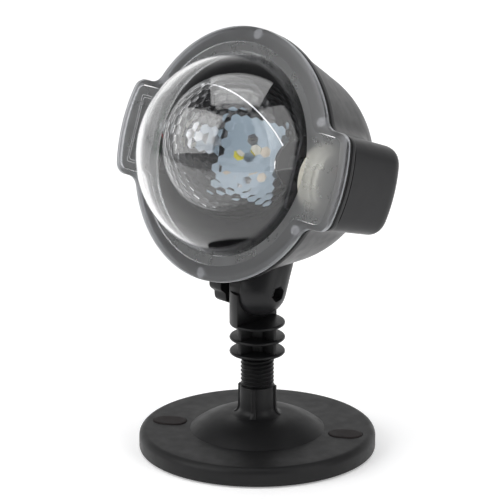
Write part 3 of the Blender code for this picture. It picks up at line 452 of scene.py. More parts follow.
def make_object(bm, name, looks, place=None, angle=35):
    """Turn a bmesh into a shaded object with its materials, in the row frame."""
    bmesh.ops.recalc_face_normals(bm, faces=bm.faces)
    mesh = bpy.data.meshes.new(name)
    bm.to_mesh(mesh)
    bm.free()
    if place is not None:
        mesh.transform(place)
    for look in looks:
        mesh.materials.append(MATERIALS[look])
    mesh.shade_smooth()
    mesh.set_sharp_from_angle(angle=math.radians(angle))
    obj = bpy.data.objects.new(name, mesh)
    bpy.context.scene.collection.objects.link(obj)
    return obj


def combine(target, tools, operation):
    """Apply Boolean operations to an object, then remove the tools."""
    for tool in tools:
        modifier = target.modifiers.new("Boolean", "BOOLEAN")
        modifier.operation = operation
        modifier.object = tool
        modifier.solver = "EXACT"
    apply_modifiers(target)
    for tool in tools:
        bpy.data.objects.remove(tool, do_unlink=True)


def apply_modifiers(target):
    """Replace an object's mesh with the one that its modifiers make."""
    bpy.context.view_layer.update()
    evaluated = target.evaluated_get(bpy.context.evaluated_depsgraph_get())
    mesh = bpy.data.meshes.new_from_object(evaluated)
    target.modifiers.clear()
    target.data = mesh


def soften(target, width, limit):
    """Bevel the edges that are sharper than a limit in degrees."""
    bevel = target.modifiers.new("Soft edges", "BEVEL")
    bevel.width = width
    bevel.segments = 2
    bevel.angle_limit = math.radians(limit)
    apply_modifiers(target)


def at_depth(outline, depth):
    return [(x, depth, z) for x, z in outline]


def at_height(outline, height):
    return [(x, y, height) for x, y in outline]


def place_by(loop, place):
    return [place @ Vector(point) for point in loop]


def dress(obj, look, angle):
    """Give an object one material, smooth shading, and sharp edges above an angle in degrees."""
    obj.data.materials.clear()
    obj.data.materials.append(MATERIALS[look])
    obj.data.shade_smooth()
    obj.data.set_sharp_from_angle(angle=math.radians(angle))


def add(obj, body, slot, *nodes):
    """Hang a finished piece on its body, in place of its CAD nodes."""
    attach(obj, body)
    if nodes:
        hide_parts(*nodes)


# ---- outlines of the head

def four_quadrants(quadrant):
    second = [(-x, z) for x, z in reversed(quadrant[:-1])]
    third = [(-x, -z) for x, z in quadrant[1:]]
    fourth = [(x, -z) for x, z in reversed(quadrant[1:-1])]
    return quadrant + second + third + fourth


def eared_outline(radius, reach, half_height, corner, fillet, inset=0.0):
    """A circle with an ear at each side, every edge moved in by the same amount."""
    radius, reach, half_height = radius - inset, reach - inset, half_height - inset
    corner, fillet = corner - inset, fillet + inset
    corner_x = math.sqrt((reach - corner) ** 2 - (half_height - corner) ** 2)
    corner_angle = math.degrees(math.atan2(half_height - corner, corner_x))
    fillet_x = math.sqrt((radius + fillet) ** 2 - (half_height + fillet) ** 2)
    joint_angle = math.degrees(math.atan2(half_height + fillet, fillet_x))
    quadrant = arc((0, 0), reach, 0, corner_angle, 13)
    quadrant += arc((corner_x, half_height - corner), corner, corner_angle, 90, 15)[1:]
    quadrant += arc((fillet_x, half_height + fillet), fillet, 270, 180 + joint_angle, 11)
    quadrant += arc((0, 0), radius, joint_angle, 90, 37)[1:]
    return four_quadrants(quadrant)


def flange_outline(inset):
    return eared_outline(FLANGE_RADIUS, EAR_REACH, EAR_HALF_HEIGHT, EAR_CORNER, EAR_FILLET, inset)


def step_outline(inset):
    return eared_outline(STEP_RADIUS, STEP_REACH, STEP_HALF_HEIGHT, STEP_CORNER, STEP_FILLET, inset)


def ray_circle(radius, depth):
    """A circle whose points lie on the same rays as the flange outline's."""
    return [(x / math.hypot(x, z) * radius, depth, z / math.hypot(x, z) * radius)
            for x, z in flange_outline(0)]


# ---- front cover

def dome_loops(radius, foot_depth, rings):
    foot = math.acos((DOME_CENTRE - foot_depth) / radius)
    angles = [foot * (1 - i / (rings + 0.4)) for i in range(rings + 1)]
    return [ray_circle(radius * math.sin(a), DOME_CENTRE - radius * math.cos(a)) for a in angles]


def crown(radial):
    """How far the flange's outer band falls back at a distance inside its edge."""
    share = max(0.0, 1 - radial / BAND_WIDTH)
    return BAND_FALL * share ** BAND_POWER


def make_front_cover():
    """One clear moulding: polished dome, flange with a recessed panel and a crowned band, and skirt."""
    bm = bmesh.new()
    chamfer = 0.3 * MM
    dome = list(reversed(dome_loops(DOME_RADIUS, STEP_DEPTH, DOME_RINGS)))
    panel = [at_depth(step_outline(inset * MM), depth)
             for inset, depth in ((0.3, STEP_DEPTH), (0.05, 0.15 * MM), (-0.2, 0))]
    band = [at_depth(flange_outline(inset * MM), crown(inset * MM)) for inset in BAND_INSETS]
    edge = crown(EDGE_ROUND)
    for angle in (60, 30, 0):
        turn = math.radians(angle)
        band.append(at_depth(flange_outline(EDGE_ROUND * (1 - math.cos(turn))),
                             edge + EDGE_ROUND * (1 - math.sin(turn))))
    side = [at_depth(flange_outline(inset), depth)
            for inset, depth in ((0, COVER_SKIRT - chamfer), (chamfer, COVER_SKIRT),
                                 (COVER_WALL, COVER_SKIRT), (COVER_WALL, COVER_WALL))]
    inner = dome_loops(DOME_RADIUS - DOME_WALL, COVER_WALL, DOME_RINGS)
    loops = dome + panel + band + side + inner
    domes = len(dome) - 1
    steps = len(loops) - 1 - 2 * domes
    slots = [0] * domes + [1] * 2 + [2] * (steps - 3) + [1] + [0] * domes
    loft(bm, loops, slots=slots)
    cover = make_object(bm, "front_cover_moulding", ["dome", "panel", "frosted"], HEAD, 25)
    add(cover, "head", "clear_plastic", "front_cover")
    make_cover_details()


def make_cover_details():
    """Pegs behind the flange, and the double raised line on the left ear, both in opaque pale grey that is
    painted light on clear plastic.
    """
    bm = bmesh.new()
    for angle in (90, -90, PEG_ANGLE, -PEG_ANGLE, 180 - PEG_ANGLE, 180 + PEG_ANGLE):
        x = PEG_CIRCLE * math.cos(math.radians(angle))
        z = PEG_CIRCLE * math.sin(math.radians(angle))
        rod(bm, PEG_HEAD, (x, COVER_WALL - 0.2 * MM, z), (x, GASKET_FRONT - 0.1 * MM, z), 24, 0.4 * MM)
        rod(bm, PEG_PIN, (x, GASKET_FRONT - 0.3 * MM, z), (x, PEG_END, z), 20, 0.3 * MM)
    add(make_object(bm, "cover_pegs", ["peg"], HEAD), "head", "clear_plastic")
    bm = bmesh.new()
    left, right, low, high = EAR_LINES
    for inset in (0, EAR_LINE_GAP):
        frame_ridge(bm, left + inset, right - inset, low + inset, high - inset)
    add(make_object(bm, "cover_ear_lines", ["peg"], HEAD), "head", "clear_plastic")


def frame_ridge(bm, left, right, low, high):
    """A thin raised rectangle standing on the recessed panel of an ear."""
    foot = STEP_DEPTH + 0.1 * MM
    top = STEP_DEPTH - EAR_LINE_PROUD
    middle = ((left + right) / 2, (low + high) / 2)
    half = EAR_LINE_HALF
    loops = []
    for grow, depth in ((half, foot), (half, top), (-half, top), (-half, foot)):
        line = rounded_rectangle(right - left, high - low, EAR_LINE_CORNER, 5, grow, middle)
        loops.append(at_depth(line, depth))
    loft(bm, loops, closed=True)


def make_gasket():
    bm = bmesh.new()
    outer, inner = RIM_INSET, RIM_INSET + GASKET_WIDTH
    loft(bm, [at_depth(flange_outline(inset), depth)
              for inset, depth in ((outer, GASKET_FRONT), (outer, GASKET_BACK), (inner, GASKET_BACK),
                                   (inner, GASKET_FRONT))], closed=True)
    add(make_object(bm, "cover_gasket_ring", ["rubber"], HEAD), "head", "seal_rubber", "cover_gasket")


# ---- rear housing

def smooth_min(first, second, width):
    """The smaller of two distances, with a soft fillet where they meet."""
    share = max(width - abs(first - second), 0) / width
    return min(first, second) - share * share * width / 4


def smooth_max(first, second, width):
    return -smooth_min(-first, -second, width)


def housing_distance(point, inset):
    """Signed distance, about, to the bowl and its two ears, drawn in by the wall's thickness."""
    x, depth, z = point
    radius = math.hypot(x, z)
    sphere = BOWL_SPHERE - inset
    mouth = BOWL_MOUTH - inset
    ahead = BOWL_CENTRE - RIM_FRONT
    cone = math.acos(sphere / math.hypot(mouth, ahead)) - math.atan2(ahead, mouth)
    behind = depth - BOWL_CENTRE
    if math.atan2(behind, radius) > cone:
        bowl = math.hypot(radius, behind) - sphere
    else:
        bowl = radius * math.cos(cone) + behind * math.sin(cone) - sphere
    bowl = smooth_max(bowl, depth - BOWL_REAR + inset, BOWL_REAR_BLEND)
    draft = EAR_DRAFT * (depth - RIM_BACK) / (EAR_REAR - RIM_BACK)
    end = radius - (EAR_REACH - RIM_INSET - inset - draft)
    side = abs(z) - (EAR_HALF_HEIGHT - RIM_INSET - inset - draft)
    ear = smooth_max(smooth_max(end, side, EAR_END_BLEND), depth - EAR_REAR + inset, EAR_REAR_BLEND)
    return smooth_min(bowl, ear, EAR_JOINT_BLEND)


def skin(start, inset, count):
    """Loops of the housing's surface, found along rays from a point on the head's axis."""
    loops = []
    angles = [math.atan2(z, x) for x, z in flange_outline(RIM_INSET)]
    for j in range(count + 1):
        rise = LAST_RISE * j / count
        loop = []
        for angle in angles:
            along = (math.cos(angle) * math.cos(rise), math.sin(rise), math.sin(angle) * math.cos(rise))
            near, far = SEARCH_FROM, SEARCH_TO
            for _ in range(HALVINGS):
                middle = (near + far) / 2
                point = (along[0] * middle, start + along[1] * middle, along[2] * middle)
                if housing_distance(point, inset) < 0:
                    near = middle
                else:
                    far = middle
            loop.append(point)
        loops.append(loop)
    return loops


def make_lug():
    """The round post under the bowl: a ball end about the hinge, a flat side and the nut's pocket."""
    profile = [(0, LUG_RISE), (LUG_RADIUS, LUG_RISE)] + arc((0, 0), LUG_RADIUS, 0, -90, 28)
    bm = bmesh.new()
    lathe(bm, profile, 96, Matrix.Translation(HINGE_LOCAL))
    lug = make_object(bm, "lug", [])
    size = 4 * LUG_RADIUS
    middle = HINGE_LOCAL + Vector((size / 2 + LUG_INNER, 0, 0))
    bm = bmesh.new()
    bmesh.ops.create_cube(bm, size=size, matrix=Matrix.Translation(middle))
    combine(lug, [make_object(bm, "side", [])], "INTERSECT")
    bm = bmesh.new()
    bmesh.ops.create_icosphere(bm, subdivisions=5, radius=BOWL_SPHERE - HOUSING_WALL / 2,
                               matrix=Matrix.Translation((0, BOWL_CENTRE, 0)))
    combine(lug, [make_object(bm, "bowl", [])] + lug_cuts(), "DIFFERENCE")
    soften(lug, 0.35 * MM, 45)
    return lug


def hexagon(across):
    radius = across / math.sqrt(3)
    corners = [math.radians(60 * i + 90) for i in range(6)]
    return [(radius * math.cos(angle), radius * math.sin(angle)) for angle in corners]


def lug_cuts():
    """The nut's hexagonal pocket and the tilt screw's hole."""
    bm = bmesh.new()
    loft(bm, [[(x, HINGE_LOCAL.y + y, HINGE_LOCAL.z + z) for y, z in hexagon(POCKET_ACROSS)]
              for x in (POCKET_FLOOR, 2 * LUG_RADIUS)])
    pocket = make_object(bm, "pocket", [])
    bm = bmesh.new()
    along = Vector((2 * LUG_RADIUS, 0, 0))
    rod(bm, SCREW_HOLE, HINGE_LOCAL - along, HINGE_LOCAL + along, 32)
    return [pocket, make_object(bm, "screw_hole", [])]


def make_rear_housing():
    """Rim, outer skin, inner skin and screw bosses, with the lug as a piece of its own."""
    edge = 0.5 * MM
    start = RIM_BACK + 0.2 * MM
    rim = [at_depth(flange_outline(RIM_INSET + inset), depth)
           for inset, depth in ((1.2 * MM, start), (edge, RIM_BACK), (0.15 * MM, RIM_BACK - 0.15 * MM),
                                (0, RIM_BACK - edge), (0, RIM_FRONT + edge), (edge, RIM_FRONT))]
    outer = list(reversed(skin(start, 0, 90)))
    inner = skin(RIM_FRONT, HOUSING_WALL, 60)
    bm = bmesh.new()
    loft(bm, outer + rim + inner, slots=[0] * (len(outer) + len(rim) - 1) + [1] * len(inner))
    skins = len(bm.faces)
    for x in (-BOSS_X, BOSS_X):
        for z in (-BOSS_Z, BOSS_Z):
            rod(bm, BOSS_RADIUS, (x, BOSS_FRONT, z), (x, BOSS_BACK, z), 24)
    recolour(bm, skins)
    housing = make_object(bm, "rear_housing_moulding", ["housing", "inside"], HEAD, 30)
    add(housing, "head", "housing_plastic", "rear_housing")
    lug = make_lug()
    lug.data.transform(HEAD)
    lug.name = "rear_housing_lug"
    dress(lug, "housing", 35)
    add(lug, "head", "housing_plastic")


# ---- lens ball

def geodesic(frequency):
    """Vertices and triangles of an icosahedron whose faces are divided evenly, on a unit sphere."""
    bm = bmesh.new()
    bmesh.ops.create_icosphere(bm, subdivisions=1, radius=1.0)
    index, points, triangles = {}, [], []

    def point(vector):
        key = tuple(round(c, 5) for c in vector.normalized())
        if key not in index:
            index[key] = len(points)
            points.append(vector.normalized())
        return index[key]

    for face in bm.faces:
        a, b, c = [vert.co.copy() for vert in face.verts]
        grid = {}
        for i in range(frequency + 1):
            for j in range(frequency + 1 - i):
                grid[i, j] = point(a * (frequency - i - j) + b * i + c * j)
        for i in range(frequency):
            for j in range(frequency - i):
                triangles.append((grid[i, j], grid[i + 1, j], grid[i, j + 1]))
                if i + j < frequency - 1:
                    triangles.append((grid[i + 1, j], grid[i + 1, j + 1], grid[i, j + 1]))
    bm.free()
    return points, triangles


def lens_cells(frequency):
    """Each small lens as its middle and the ordered corners of its hexagon, on a unit sphere."""
    points, triangles = geodesic(frequency)
    around = [[] for _ in points]
    for triangle in triangles:
        middle = sum((points[i] for i in triangle), Vector()).normalized()
        for i in triangle:
            around[i].append(middle)
    cells = []
    for centre, corners in zip(points, around):
        first = (corners[0] - centre * corners[0].dot(centre)).normalized()
        second = centre.cross(first)
        corners.sort(key=lambda corner: math.atan2(corner.dot(second), corner.dot(first)))
        cells.append((centre, corners))
    return cells


def ball_shell():
    """A smooth sphere with one small convex lens for each cell inside, bored through for the hubs."""
    bm = bmesh.new()
    bmesh.ops.create_icosphere(bm, subdivisions=5, radius=BALL_RADIUS)
    inner = BALL_RADIUS - BALL_WALL
    corners_made = {}

    def corner_vert(corner):
        key = tuple(round(c, 5) for c in corner)
        if key not in corners_made:
            corners_made[key] = bm.verts.new(corner * inner)
        return corners_made[key]

    for centre, corners in lens_cells(LENS_FREQUENCY):
        rim = [corner_vert(corner) for corner in corners]
        previous = rim
        for share, sag in LENS_RINGS:
            ring = [bm.verts.new((centre.lerp(corner, share)).normalized() * (inner - LENS_SAG * sag))
                    for corner in corners]
            for i in range(len(corners)):
                j = (i + 1) % len(corners)
                bm.faces.new((previous[j], previous[i], ring[i], ring[j]))
            previous = ring
        top = bm.verts.new(centre * (inner - LENS_SAG))
        for i in range(len(corners)):
            bm.faces.new((previous[(i + 1) % len(corners)], previous[i], top))
    mesh = bpy.data.meshes.new("ball_shell")
    bm.to_mesh(mesh)
    bm.free()
    obj = bpy.data.objects.new("ball_shell", mesh)
    bpy.context.scene.collection.objects.link(obj)
    bm = bmesh.new()
    rod(bm, BALL_PORT, (-2 * BALL_RADIUS, 0, 0), (2 * BALL_RADIUS, 0, 0), 64)
    combine(obj, [make_object(bm, "ports", [])], "DIFFERENCE")
    return obj


def make_ball():
    """Two halves that meet on a slanting plane through the spin axis."""
    shell = ball_shell()
    size = 3 * BALL_RADIUS
    turn = Matrix.Rotation(BALL_SPLIT, 4, "X")
    for end, side in (("front", 1), ("rear", -1)):
        half = shell.copy()
        half.data = shell.data.copy()
        half.name = "ball_half_" + end
        half.data.name = half.name
        bpy.context.scene.collection.objects.link(half)
        middle = Matrix.Translation((0, 0, side * (size / 2 + SEAM / 2)))
        bm = bmesh.new()
        bmesh.ops.create_cube(bm, size=size, matrix=turn @ middle)
        combine(half, [make_object(bm, "half_space", [])], "INTERSECT")
        half.data.transform(HEAD @ Matrix.Translation(BALL))
        dress(half, "lens", 7)
        add(half, "ball", "lens_plastic", "ball_%s_half" % end)
    bpy.data.objects.remove(shell, do_unlink=True)


# ---- motor and light board

def make_motor():
    """A round gear motor: a stepped face, a groove round the case, and an end cap with a sunk ring."""
    low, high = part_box("motor_gearcase")
    radius = (high.y - low.y) / 2
    length = high.x - low.x
    centre = HEAD.inverted() @ ((low + high) / 2)
    across = Matrix.Rotation(math.radians(90), 4, "Y")
    place = HEAD @ Matrix.Translation((low.x, centre.y, centre.z)) @ across
    groove = radius - 0.4 * MM
    edge = 0.5 * MM
    bm = bmesh.new()
    lathe(bm, [(0, 0), (radius * 0.55, 0), (radius * 0.57, edge), (radius - 1.2 * MM, edge),
               (groove, 0.8 * MM), (radius, 1.6 * MM), (radius, length * 0.52), (groove, length * 0.54),
               (groove, length * 0.58), (radius, length * 0.6), (radius, length - edge),
               (radius - edge, length), (0, length)], 96, place)
    add(make_object(bm, "motor_body", ["cream"]), "head", "motor_plastic", "motor_gearcase")
    low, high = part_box("motor_end_cap")
    place = HEAD @ Matrix.Translation((low.x, centre.y, centre.z)) @ across
    cap = (high.y - low.y) / 2
    depth = high.x - low.x
    bm = bmesh.new()
    lathe(bm, [(0, 0), (cap, 0), (cap, depth - 0.9 * MM), (cap - 0.3 * MM, depth - 0.3 * MM),
               (cap - 0.9 * MM, depth), (cap * 0.4, depth), (cap * 0.37, depth - edge),
               (cap * 0.2, depth - edge), (cap * 0.17, depth), (0, depth)], 96, place)
    add(make_object(bm, "motor_cap", ["cream"]), "head", "motor_plastic", "motor_end_cap")


def slab(bm, outline, x, z, depths):
    """A flat piece between two depths, with its outline about (x, z)."""
    loft(bm, [[(px + x, depth, pz + z) for px, pz in outline] for depth in depths])


def make_light_board():
    """White-masked aluminium board with solder pads, a printed ring and light chips."""
    front = BOARD_FRONT
    back = front + BOARD_THICKNESS
    chamfer = 0.1 * MM
    outline = rounded_rectangle(BOARD_SIZE, BOARD_SIZE, 2 * MM)
    bm = bmesh.new()
    loft(bm, [at_depth(inset_outline(outline, BOARD_EDGE), front), at_depth(outline, front + BOARD_EDGE),
              at_depth(outline, back - chamfer), at_depth(inset_outline(outline, chamfer), back)])
    add(make_object(bm, "light_board", ["board"], HEAD), "head", "led_board", "led_board")
    bm = bmesh.new()
    sunk = front + 0.05 * MM
    pad = rounded_rectangle(1.3 * MM, 3.0 * MM, 0.3 * MM, 4)
    for x, z in CHIPS:
        for shift in (-2.4 * MM, 2.4 * MM):
            slab(bm, pad, x * MM + shift, z * MM, (front - 0.05 * MM, sunk))
    pad = rounded_rectangle(4 * MM, 2.4 * MM, 1.1 * MM, 6)
    for x in (-14 * MM, 14 * MM):
        slab(bm, pad, x, -8 * MM, (front - 0.08 * MM, sunk))
    lathe_ring(bm, (7 * MM, -10 * MM), 1.7 * MM, 0.14 * MM, front)
    add(make_object(bm, "light_board_pads", ["copper"], HEAD), "head", "led_board")
    for i, (x, z) in enumerate(CHIPS):
        make_chip(i + 1, x * MM, z * MM, front - 0.3 * MM)


def make_chip(number, x, z, face):
    """A square white package with a yellow domed lens."""
    body = rounded_rectangle(CHIP_SIZE, CHIP_SIZE, 0.3 * MM, 4)
    foot = 0.15 * MM
    dome = [(CHIP_LENS * math.cos(math.radians(angle)), foot + CHIP_LENS_RISE * math.sin(math.radians(angle)))
            for angle in range(0, 90, 15)]
    seat = Matrix.Translation((x, face - CHIP_THICKNESS + 0.05 * MM, z))
    place = seat @ Matrix.Rotation(math.radians(90), 4, "X")
    bm = bmesh.new()
    slab(bm, body, x, z, (face, face - CHIP_THICKNESS))
    package = len(bm.faces)
    lathe(bm, [(0, 0), (CHIP_LENS, 0)] + dome + [(0, foot + CHIP_LENS_RISE)], 32, place)
    recolour(bm, package)
    chip = make_object(bm, "light_chip_%d" % number, ["ceramic", "phosphor"], HEAD)
    add(chip, "head", "phosphor", "led_chip_%d" % number)


def lathe_ring(bm, centre, radius, half, front):
    """A thin flat ring standing just off the board's face."""
    place = Matrix.Translation((centre[0], front, centre[1])) @ Matrix.Rotation(math.radians(90), 4, "X")
    proud = 0.05 * MM
    lathe(bm, [(radius - half, 0), (radius - half, proud), (radius + half, proud), (radius + half, 0)],
          32, place, closed=True)


# ---- stand

def make_base():
    """The stand's shell: round-edged disc, bell, hub with four ribs, and two slots for the plugs."""
    bell_end = HUB_RADIUS + 3.5 * MM
    fillet_top = HUB_FOOT + HUB_FILLET
    inside = BASE_RADIUS - SKIRT
    under = BASE_TOP - SKIRT
    profile = [(HUB_BORE, HUB_TOP), (HUB_RADIUS - 0.5 * MM, HUB_TOP),
               (HUB_RADIUS - 0.15 * MM, HUB_TOP - 0.15 * MM), (HUB_RADIUS, HUB_TOP - 0.5 * MM),
               (HUB_RADIUS + 0.1 * MM, fillet_top)]
    profile += arc((HUB_RADIUS + 4.3 * MM, fillet_top), HUB_FILLET, 180, 252, 8)[1:]
    for i in range(25):
        share = i / 24
        radius = bell_end + (BELL_RADIUS - bell_end) * share
        height = BASE_TOP + (HUB_FOOT - BASE_TOP) * (1 - share ** BELL_POWER)
        if radius > profile[-1][0]:
            profile.append((radius, height))
    profile += [(BELL_RADIUS + 0.5 * MM, BASE_TOP - 0.05 * MM), (BASE_RADIUS - BASE_EDGE - 6 * MM, BASE_TOP)]
    profile += list(reversed(arc((BASE_RADIUS - BASE_EDGE, BASE_TOP - BASE_EDGE), BASE_EDGE, 0, 90, 10)))
    profile += [(BASE_RADIUS, BASE_FOOT + 0.8 * MM), (BASE_RADIUS - 0.2 * MM, BASE_FOOT + 0.2 * MM),
                (BASE_RADIUS - 0.8 * MM, BASE_FOOT), (inside, BASE_FOOT), (inside, under), (HUB_BORE, under)]
    bm = bmesh.new()
    lathe(bm, profile, 192, closed=True)
    base = make_object(bm, "stand_shell", ["stand"])
    outline = obround(SLOT_LENGTH + SLOT_CLEARANCE, SLOT_WIDTH + SLOT_CLEARANCE)
    cutters = []
    for i in range(2):
        bm = bmesh.new()
        loft(bm, [place_by(at_height(outline, height), slot_place(i)) for height in (2 * MM, 20 * MM)])
        cutters.append(make_object(bm, "slot", []))
    combine(base, cutters, "DIFFERENCE")
    dress(base, "stand", 25)
    add(base, "stand", "stand_plastic", "base_shell")
    make_hub_ribs()
    make_plugs()


def make_hub_ribs():
    """Four upright ribs on the hub, wider at the foot and drawn in at the top."""
    back = HUB_BORE + 0.6 * MM
    stations = ((HUB_FOOT + 0.2 * MM, 2.4, 1.3), (HUB_FOOT + 1.5 * MM, 1.0, 1.1),
                (HUB_FOOT + 3.5 * MM, 0.25, 1.0), (HUB_FOOT + 6 * MM, 0, 1.0),
                (HUB_TOP - RIB_EDGE, 0, 1.0), (HUB_TOP, -0.4, 0.9))
    bm = bmesh.new()
    for i in range(4):
        turn = Matrix.Rotation(STAND_TURN + i * math.pi / 2, 4, "Z")
        loops = []
        for height, beyond, width in stations:
            half = RIB_WIDTH / 2 * width
            reach = RIB_REACH + beyond * MM
            inner = reach - RIB_EDGE
            ring = [(back, -half), (inner, -half), (reach, -half + RIB_EDGE), (reach, half - RIB_EDGE),
                    (inner, half), (back, half)]
            loops.append(place_by(at_height(ring, height), turn))
        loft(bm, loops)
    add(make_object(bm, "stand_hub_ribs", ["stand"], None, 40), "stand", "stand_plastic")


def obround(length, width):
    half = (length - width) / 2
    return arc((half, 0), width / 2, -90, 90, 17) + arc((-half, 0), width / 2, 90, 270, 17)


def slot_place(index):
    angle = STAND_TURN + index * math.pi
    return Matrix.Rotation(angle, 4, "Z") @ Matrix.Translation((SLOT_CENTRE, 0, 0))


def make_plugs():
    """The brown plugs that fill the disc's two slots."""
    top = BASE_TOP + PLUG_PROUD
    stations = ((0.0, PLUG_BOTTOM), (0.0, top - 0.5 * MM), (0.15 * MM, top - 0.18 * MM), (0.5 * MM, top),
                (1.6 * MM, top), (3.2 * MM, top))
    for i in range(2):
        bm = bmesh.new()
        loft(bm, [place_by(at_height(obround(SLOT_LENGTH - 2 * inset, SLOT_WIDTH - 2 * inset), height),
                           slot_place(i)) for inset, height in stations])
        plug = make_object(bm, "slot_plug_%d" % (i + 1), ["plug"])
        add(plug, "stand", "plug_plastic", "screw_hole_plug_%d" % (i + 1))


# ---- stem and knob

def make_thread(bm, low, high):
    """A helical ridge, as (radius, share of the pitch) points; each turn joins the next one up."""
    steps = 64
    flank = THREAD_RADIUS - 0.15 * MM
    shape = ((THREAD_ROOT, 0.0), (THREAD_ROOT, 0.18), (flank, 0.42), (THREAD_RADIUS, 0.5), (flank, 0.58),
             (THREAD_ROOT, 0.82))
    turns = int((high - low) / THREAD_PITCH) + 1
    rows = [(radius, low + (turn + share) * THREAD_PITCH) for turn in range(turns) for radius, share in shape]
    grid = []
    for k in range(steps):
        angle = 2 * math.pi * k / steps
        lift = THREAD_PITCH * k / steps
        grid.append([bm.verts.new((r * math.cos(angle), r * math.sin(angle), min(z + lift, high)))
                     for r, z in rows])
    for k in range(steps):
        following = grid[(k + 1) % steps]
        shift = len(shape) if k == steps - 1 else 0
        for i in range(len(rows) - 1 - shift):
            bm.faces.new((grid[k][i], following[i + shift], following[i + 1 + shift], grid[k][i + 1]))


def make_stem():
    """Spigot, thread, three fins on a round core with crossed webs, and the cheek."""
    low, high = FIN_HEIGHTS[0], FIN_HEIGHTS[-1]
    half = FIN_THICKNESS / 2
    bm = bmesh.new()
    make_thread(bm, HUB_TOP - 1.5 * MM, low - 0.5 * MM)
    lathe(bm, [(0, SPIGOT_FOOT), (SPIGOT_RADIUS - 0.2 * MM, SPIGOT_FOOT),
               (SPIGOT_RADIUS, SPIGOT_FOOT + 0.4 * MM), (SPIGOT_RADIUS, HUB_TOP + 0.3 * MM),
               (THREAD_ROOT, HUB_TOP + 0.5 * MM), (THREAD_ROOT, low), (0, low)], 64)
    for height in FIN_HEIGHTS:
        rim = arc((FIN_RADIUS - half, height), half, -90, 90, 9)
        lathe(bm, [(0, height - half)] + rim + [(0, height + half)], 96)
    lathe(bm, [(0, low), (STEM_CORE, low), (STEM_CORE, high), (0, high)], 48)
    web = rounded_rectangle(2 * WEB_REACH, WEB_THICKNESS, 0.5 * MM, 5)
    for outline in (web, [(y, x) for x, y in web]):
        loft(bm, [at_height(outline, low), at_height(outline, high)])
    stem = make_object(bm, "stem_moulding", ["stem"], None, 40)
    add(stem, "stem", "stand_plastic", "stem")
    make_cheek()


def make_cheek():
    """The upright beside the lug: half of the fins' cylinder, with a round head about the hinge."""
    radius = FIN_RADIUS
    low, high = FIN_HEIGHTS[-1], HINGE.z + radius
    bm = bmesh.new()
    lathe(bm, [(radius, high), (radius, low), (0, low), (0, high)], 160)
    cheek = make_object(bm, "stem_cheek", [])
    shoulder = HINGE.z - CHEEK_SHOULDER
    front = arc((HINGE.y, HINGE.z), CHEEK_TOP, 0, 180, 61)
    front += [(-2 * radius, shoulder), (-2 * radius, 0), (2 * radius, 0), (2 * radius, shoulder)]
    bm = bmesh.new()
    loft(bm, [[(x, y, z) for y, z in front] for x in (-2 * radius, -CHEEK_INNER)])
    combine(cheek, [make_object(bm, "cheek_front", [])], "INTERSECT")
    bm = bmesh.new()
    rod(bm, SCREW_HOLE, (-2 * radius, HINGE.y, HINGE.z), (0, HINGE.y, HINGE.z), 32)
    combine(cheek, [make_object(bm, "cheek_hole", [])], "DIFFERENCE")
    soften(cheek, 0.4 * MM, 40)
    dress(cheek, "stem", 35)
    add(cheek, "stem", "stand_plastic")


def knob_outline(inset):
    count = 96
    points = []
    for i in range(count):
        angle = 2 * math.pi * i / count
        wave = 0.5 - 0.5 * math.cos(KNOB_LOBES * angle)
        radius = KNOB_RADIUS - inset - KNOB_LOBE_DEPTH * wave ** 1.6
        points.append((radius * math.cos(angle), radius * math.sin(angle)))
    return points


def make_knob():
    """A six-lobed hand knob with rounded edges."""
    steps = [(0.6 * MM, -KNOB_INNER), (0.15 * MM, -KNOB_INNER - 0.15 * MM), (0, -KNOB_INNER - 0.6 * MM)]
    for angle in (0, 22, 45, 68, 90):
        turn = math.radians(angle)
        steps.append((KNOB_EDGE * (1 - math.cos(turn)), -KNOB_OUTER + KNOB_EDGE * (1 - math.sin(turn))))
    loops = [[(x, HINGE.y + y, HINGE.z + z) for y, z in knob_outline(inset)] for inset, x in steps]
    loops.append([(-KNOB_OUTER, HINGE.y + y * KNOB_CAP, HINGE.z + z * KNOB_CAP) for y, z in knob_outline(0)])
    bm = bmesh.new()
    loft(bm, loops)
    add(make_object(bm, "hand_knob", ["stem"], None, 50), "knob", "knob_plastic", "tilt_knob")


# ---- carried-over nodes

CARRIED = {
    "steel": ["base_ballast", "tilt_washer", "tilt_screw", "tilt_nut", "motor_shaft", "motor_screw_1",
              "motor_screw_2", "led_board_screw_1", "led_board_screw_2"]
             + ["bracket_screw_%d" % (i + 1) for i in range(4)],
    "aluminium": ["led_post", "heat_sink", "led_arm"],
    # The brackets take the near-black colour that is painted shade for the inside of the head
    "bracket_painted_shade": ["motor_bracket", "post_bracket"],
    "rubber": ["base_foot_pad", "cable_gland_seal"],
    "stem": ["ball_drive_hub", "ball_bearing_hub", "cable_gland_body", "cable_gland_locknut",
             "cable_gland_cap"],
    "cream": ["ball_bush"],
    "circuit": ["driver_board"],
    "component": ["driver_capacitor_1", "driver_capacitor_2", "driver_chip", "driver_coil"],
    "red": ["motor_wire_red", "led_wires"],
    "black": ["motor_wire_black"],
}


def dress_carried_nodes():
    """Give each CAD node that is shown as it is its material."""
    for look, nodes in CARRIED.items():
        for node in nodes:
            mesh = frame["nodes"][node].data
            mesh.materials.clear()
            mesh.materials.append(MATERIALS[look])


# ---- stage

def camera_axes():
    """The camera's right, up and back directions."""
    azimuth = math.radians(CAMERA_AZIMUTH)
    elevation = math.radians(CAMERA_ELEVATION)
    back = Vector((math.sin(azimuth) * math.cos(elevation), -math.cos(azimuth) * math.cos(elevation),
                   math.sin(elevation)))
    right = Vector((math.cos(azimuth), math.sin(azimuth), 0))
    return right, back.cross(right), back


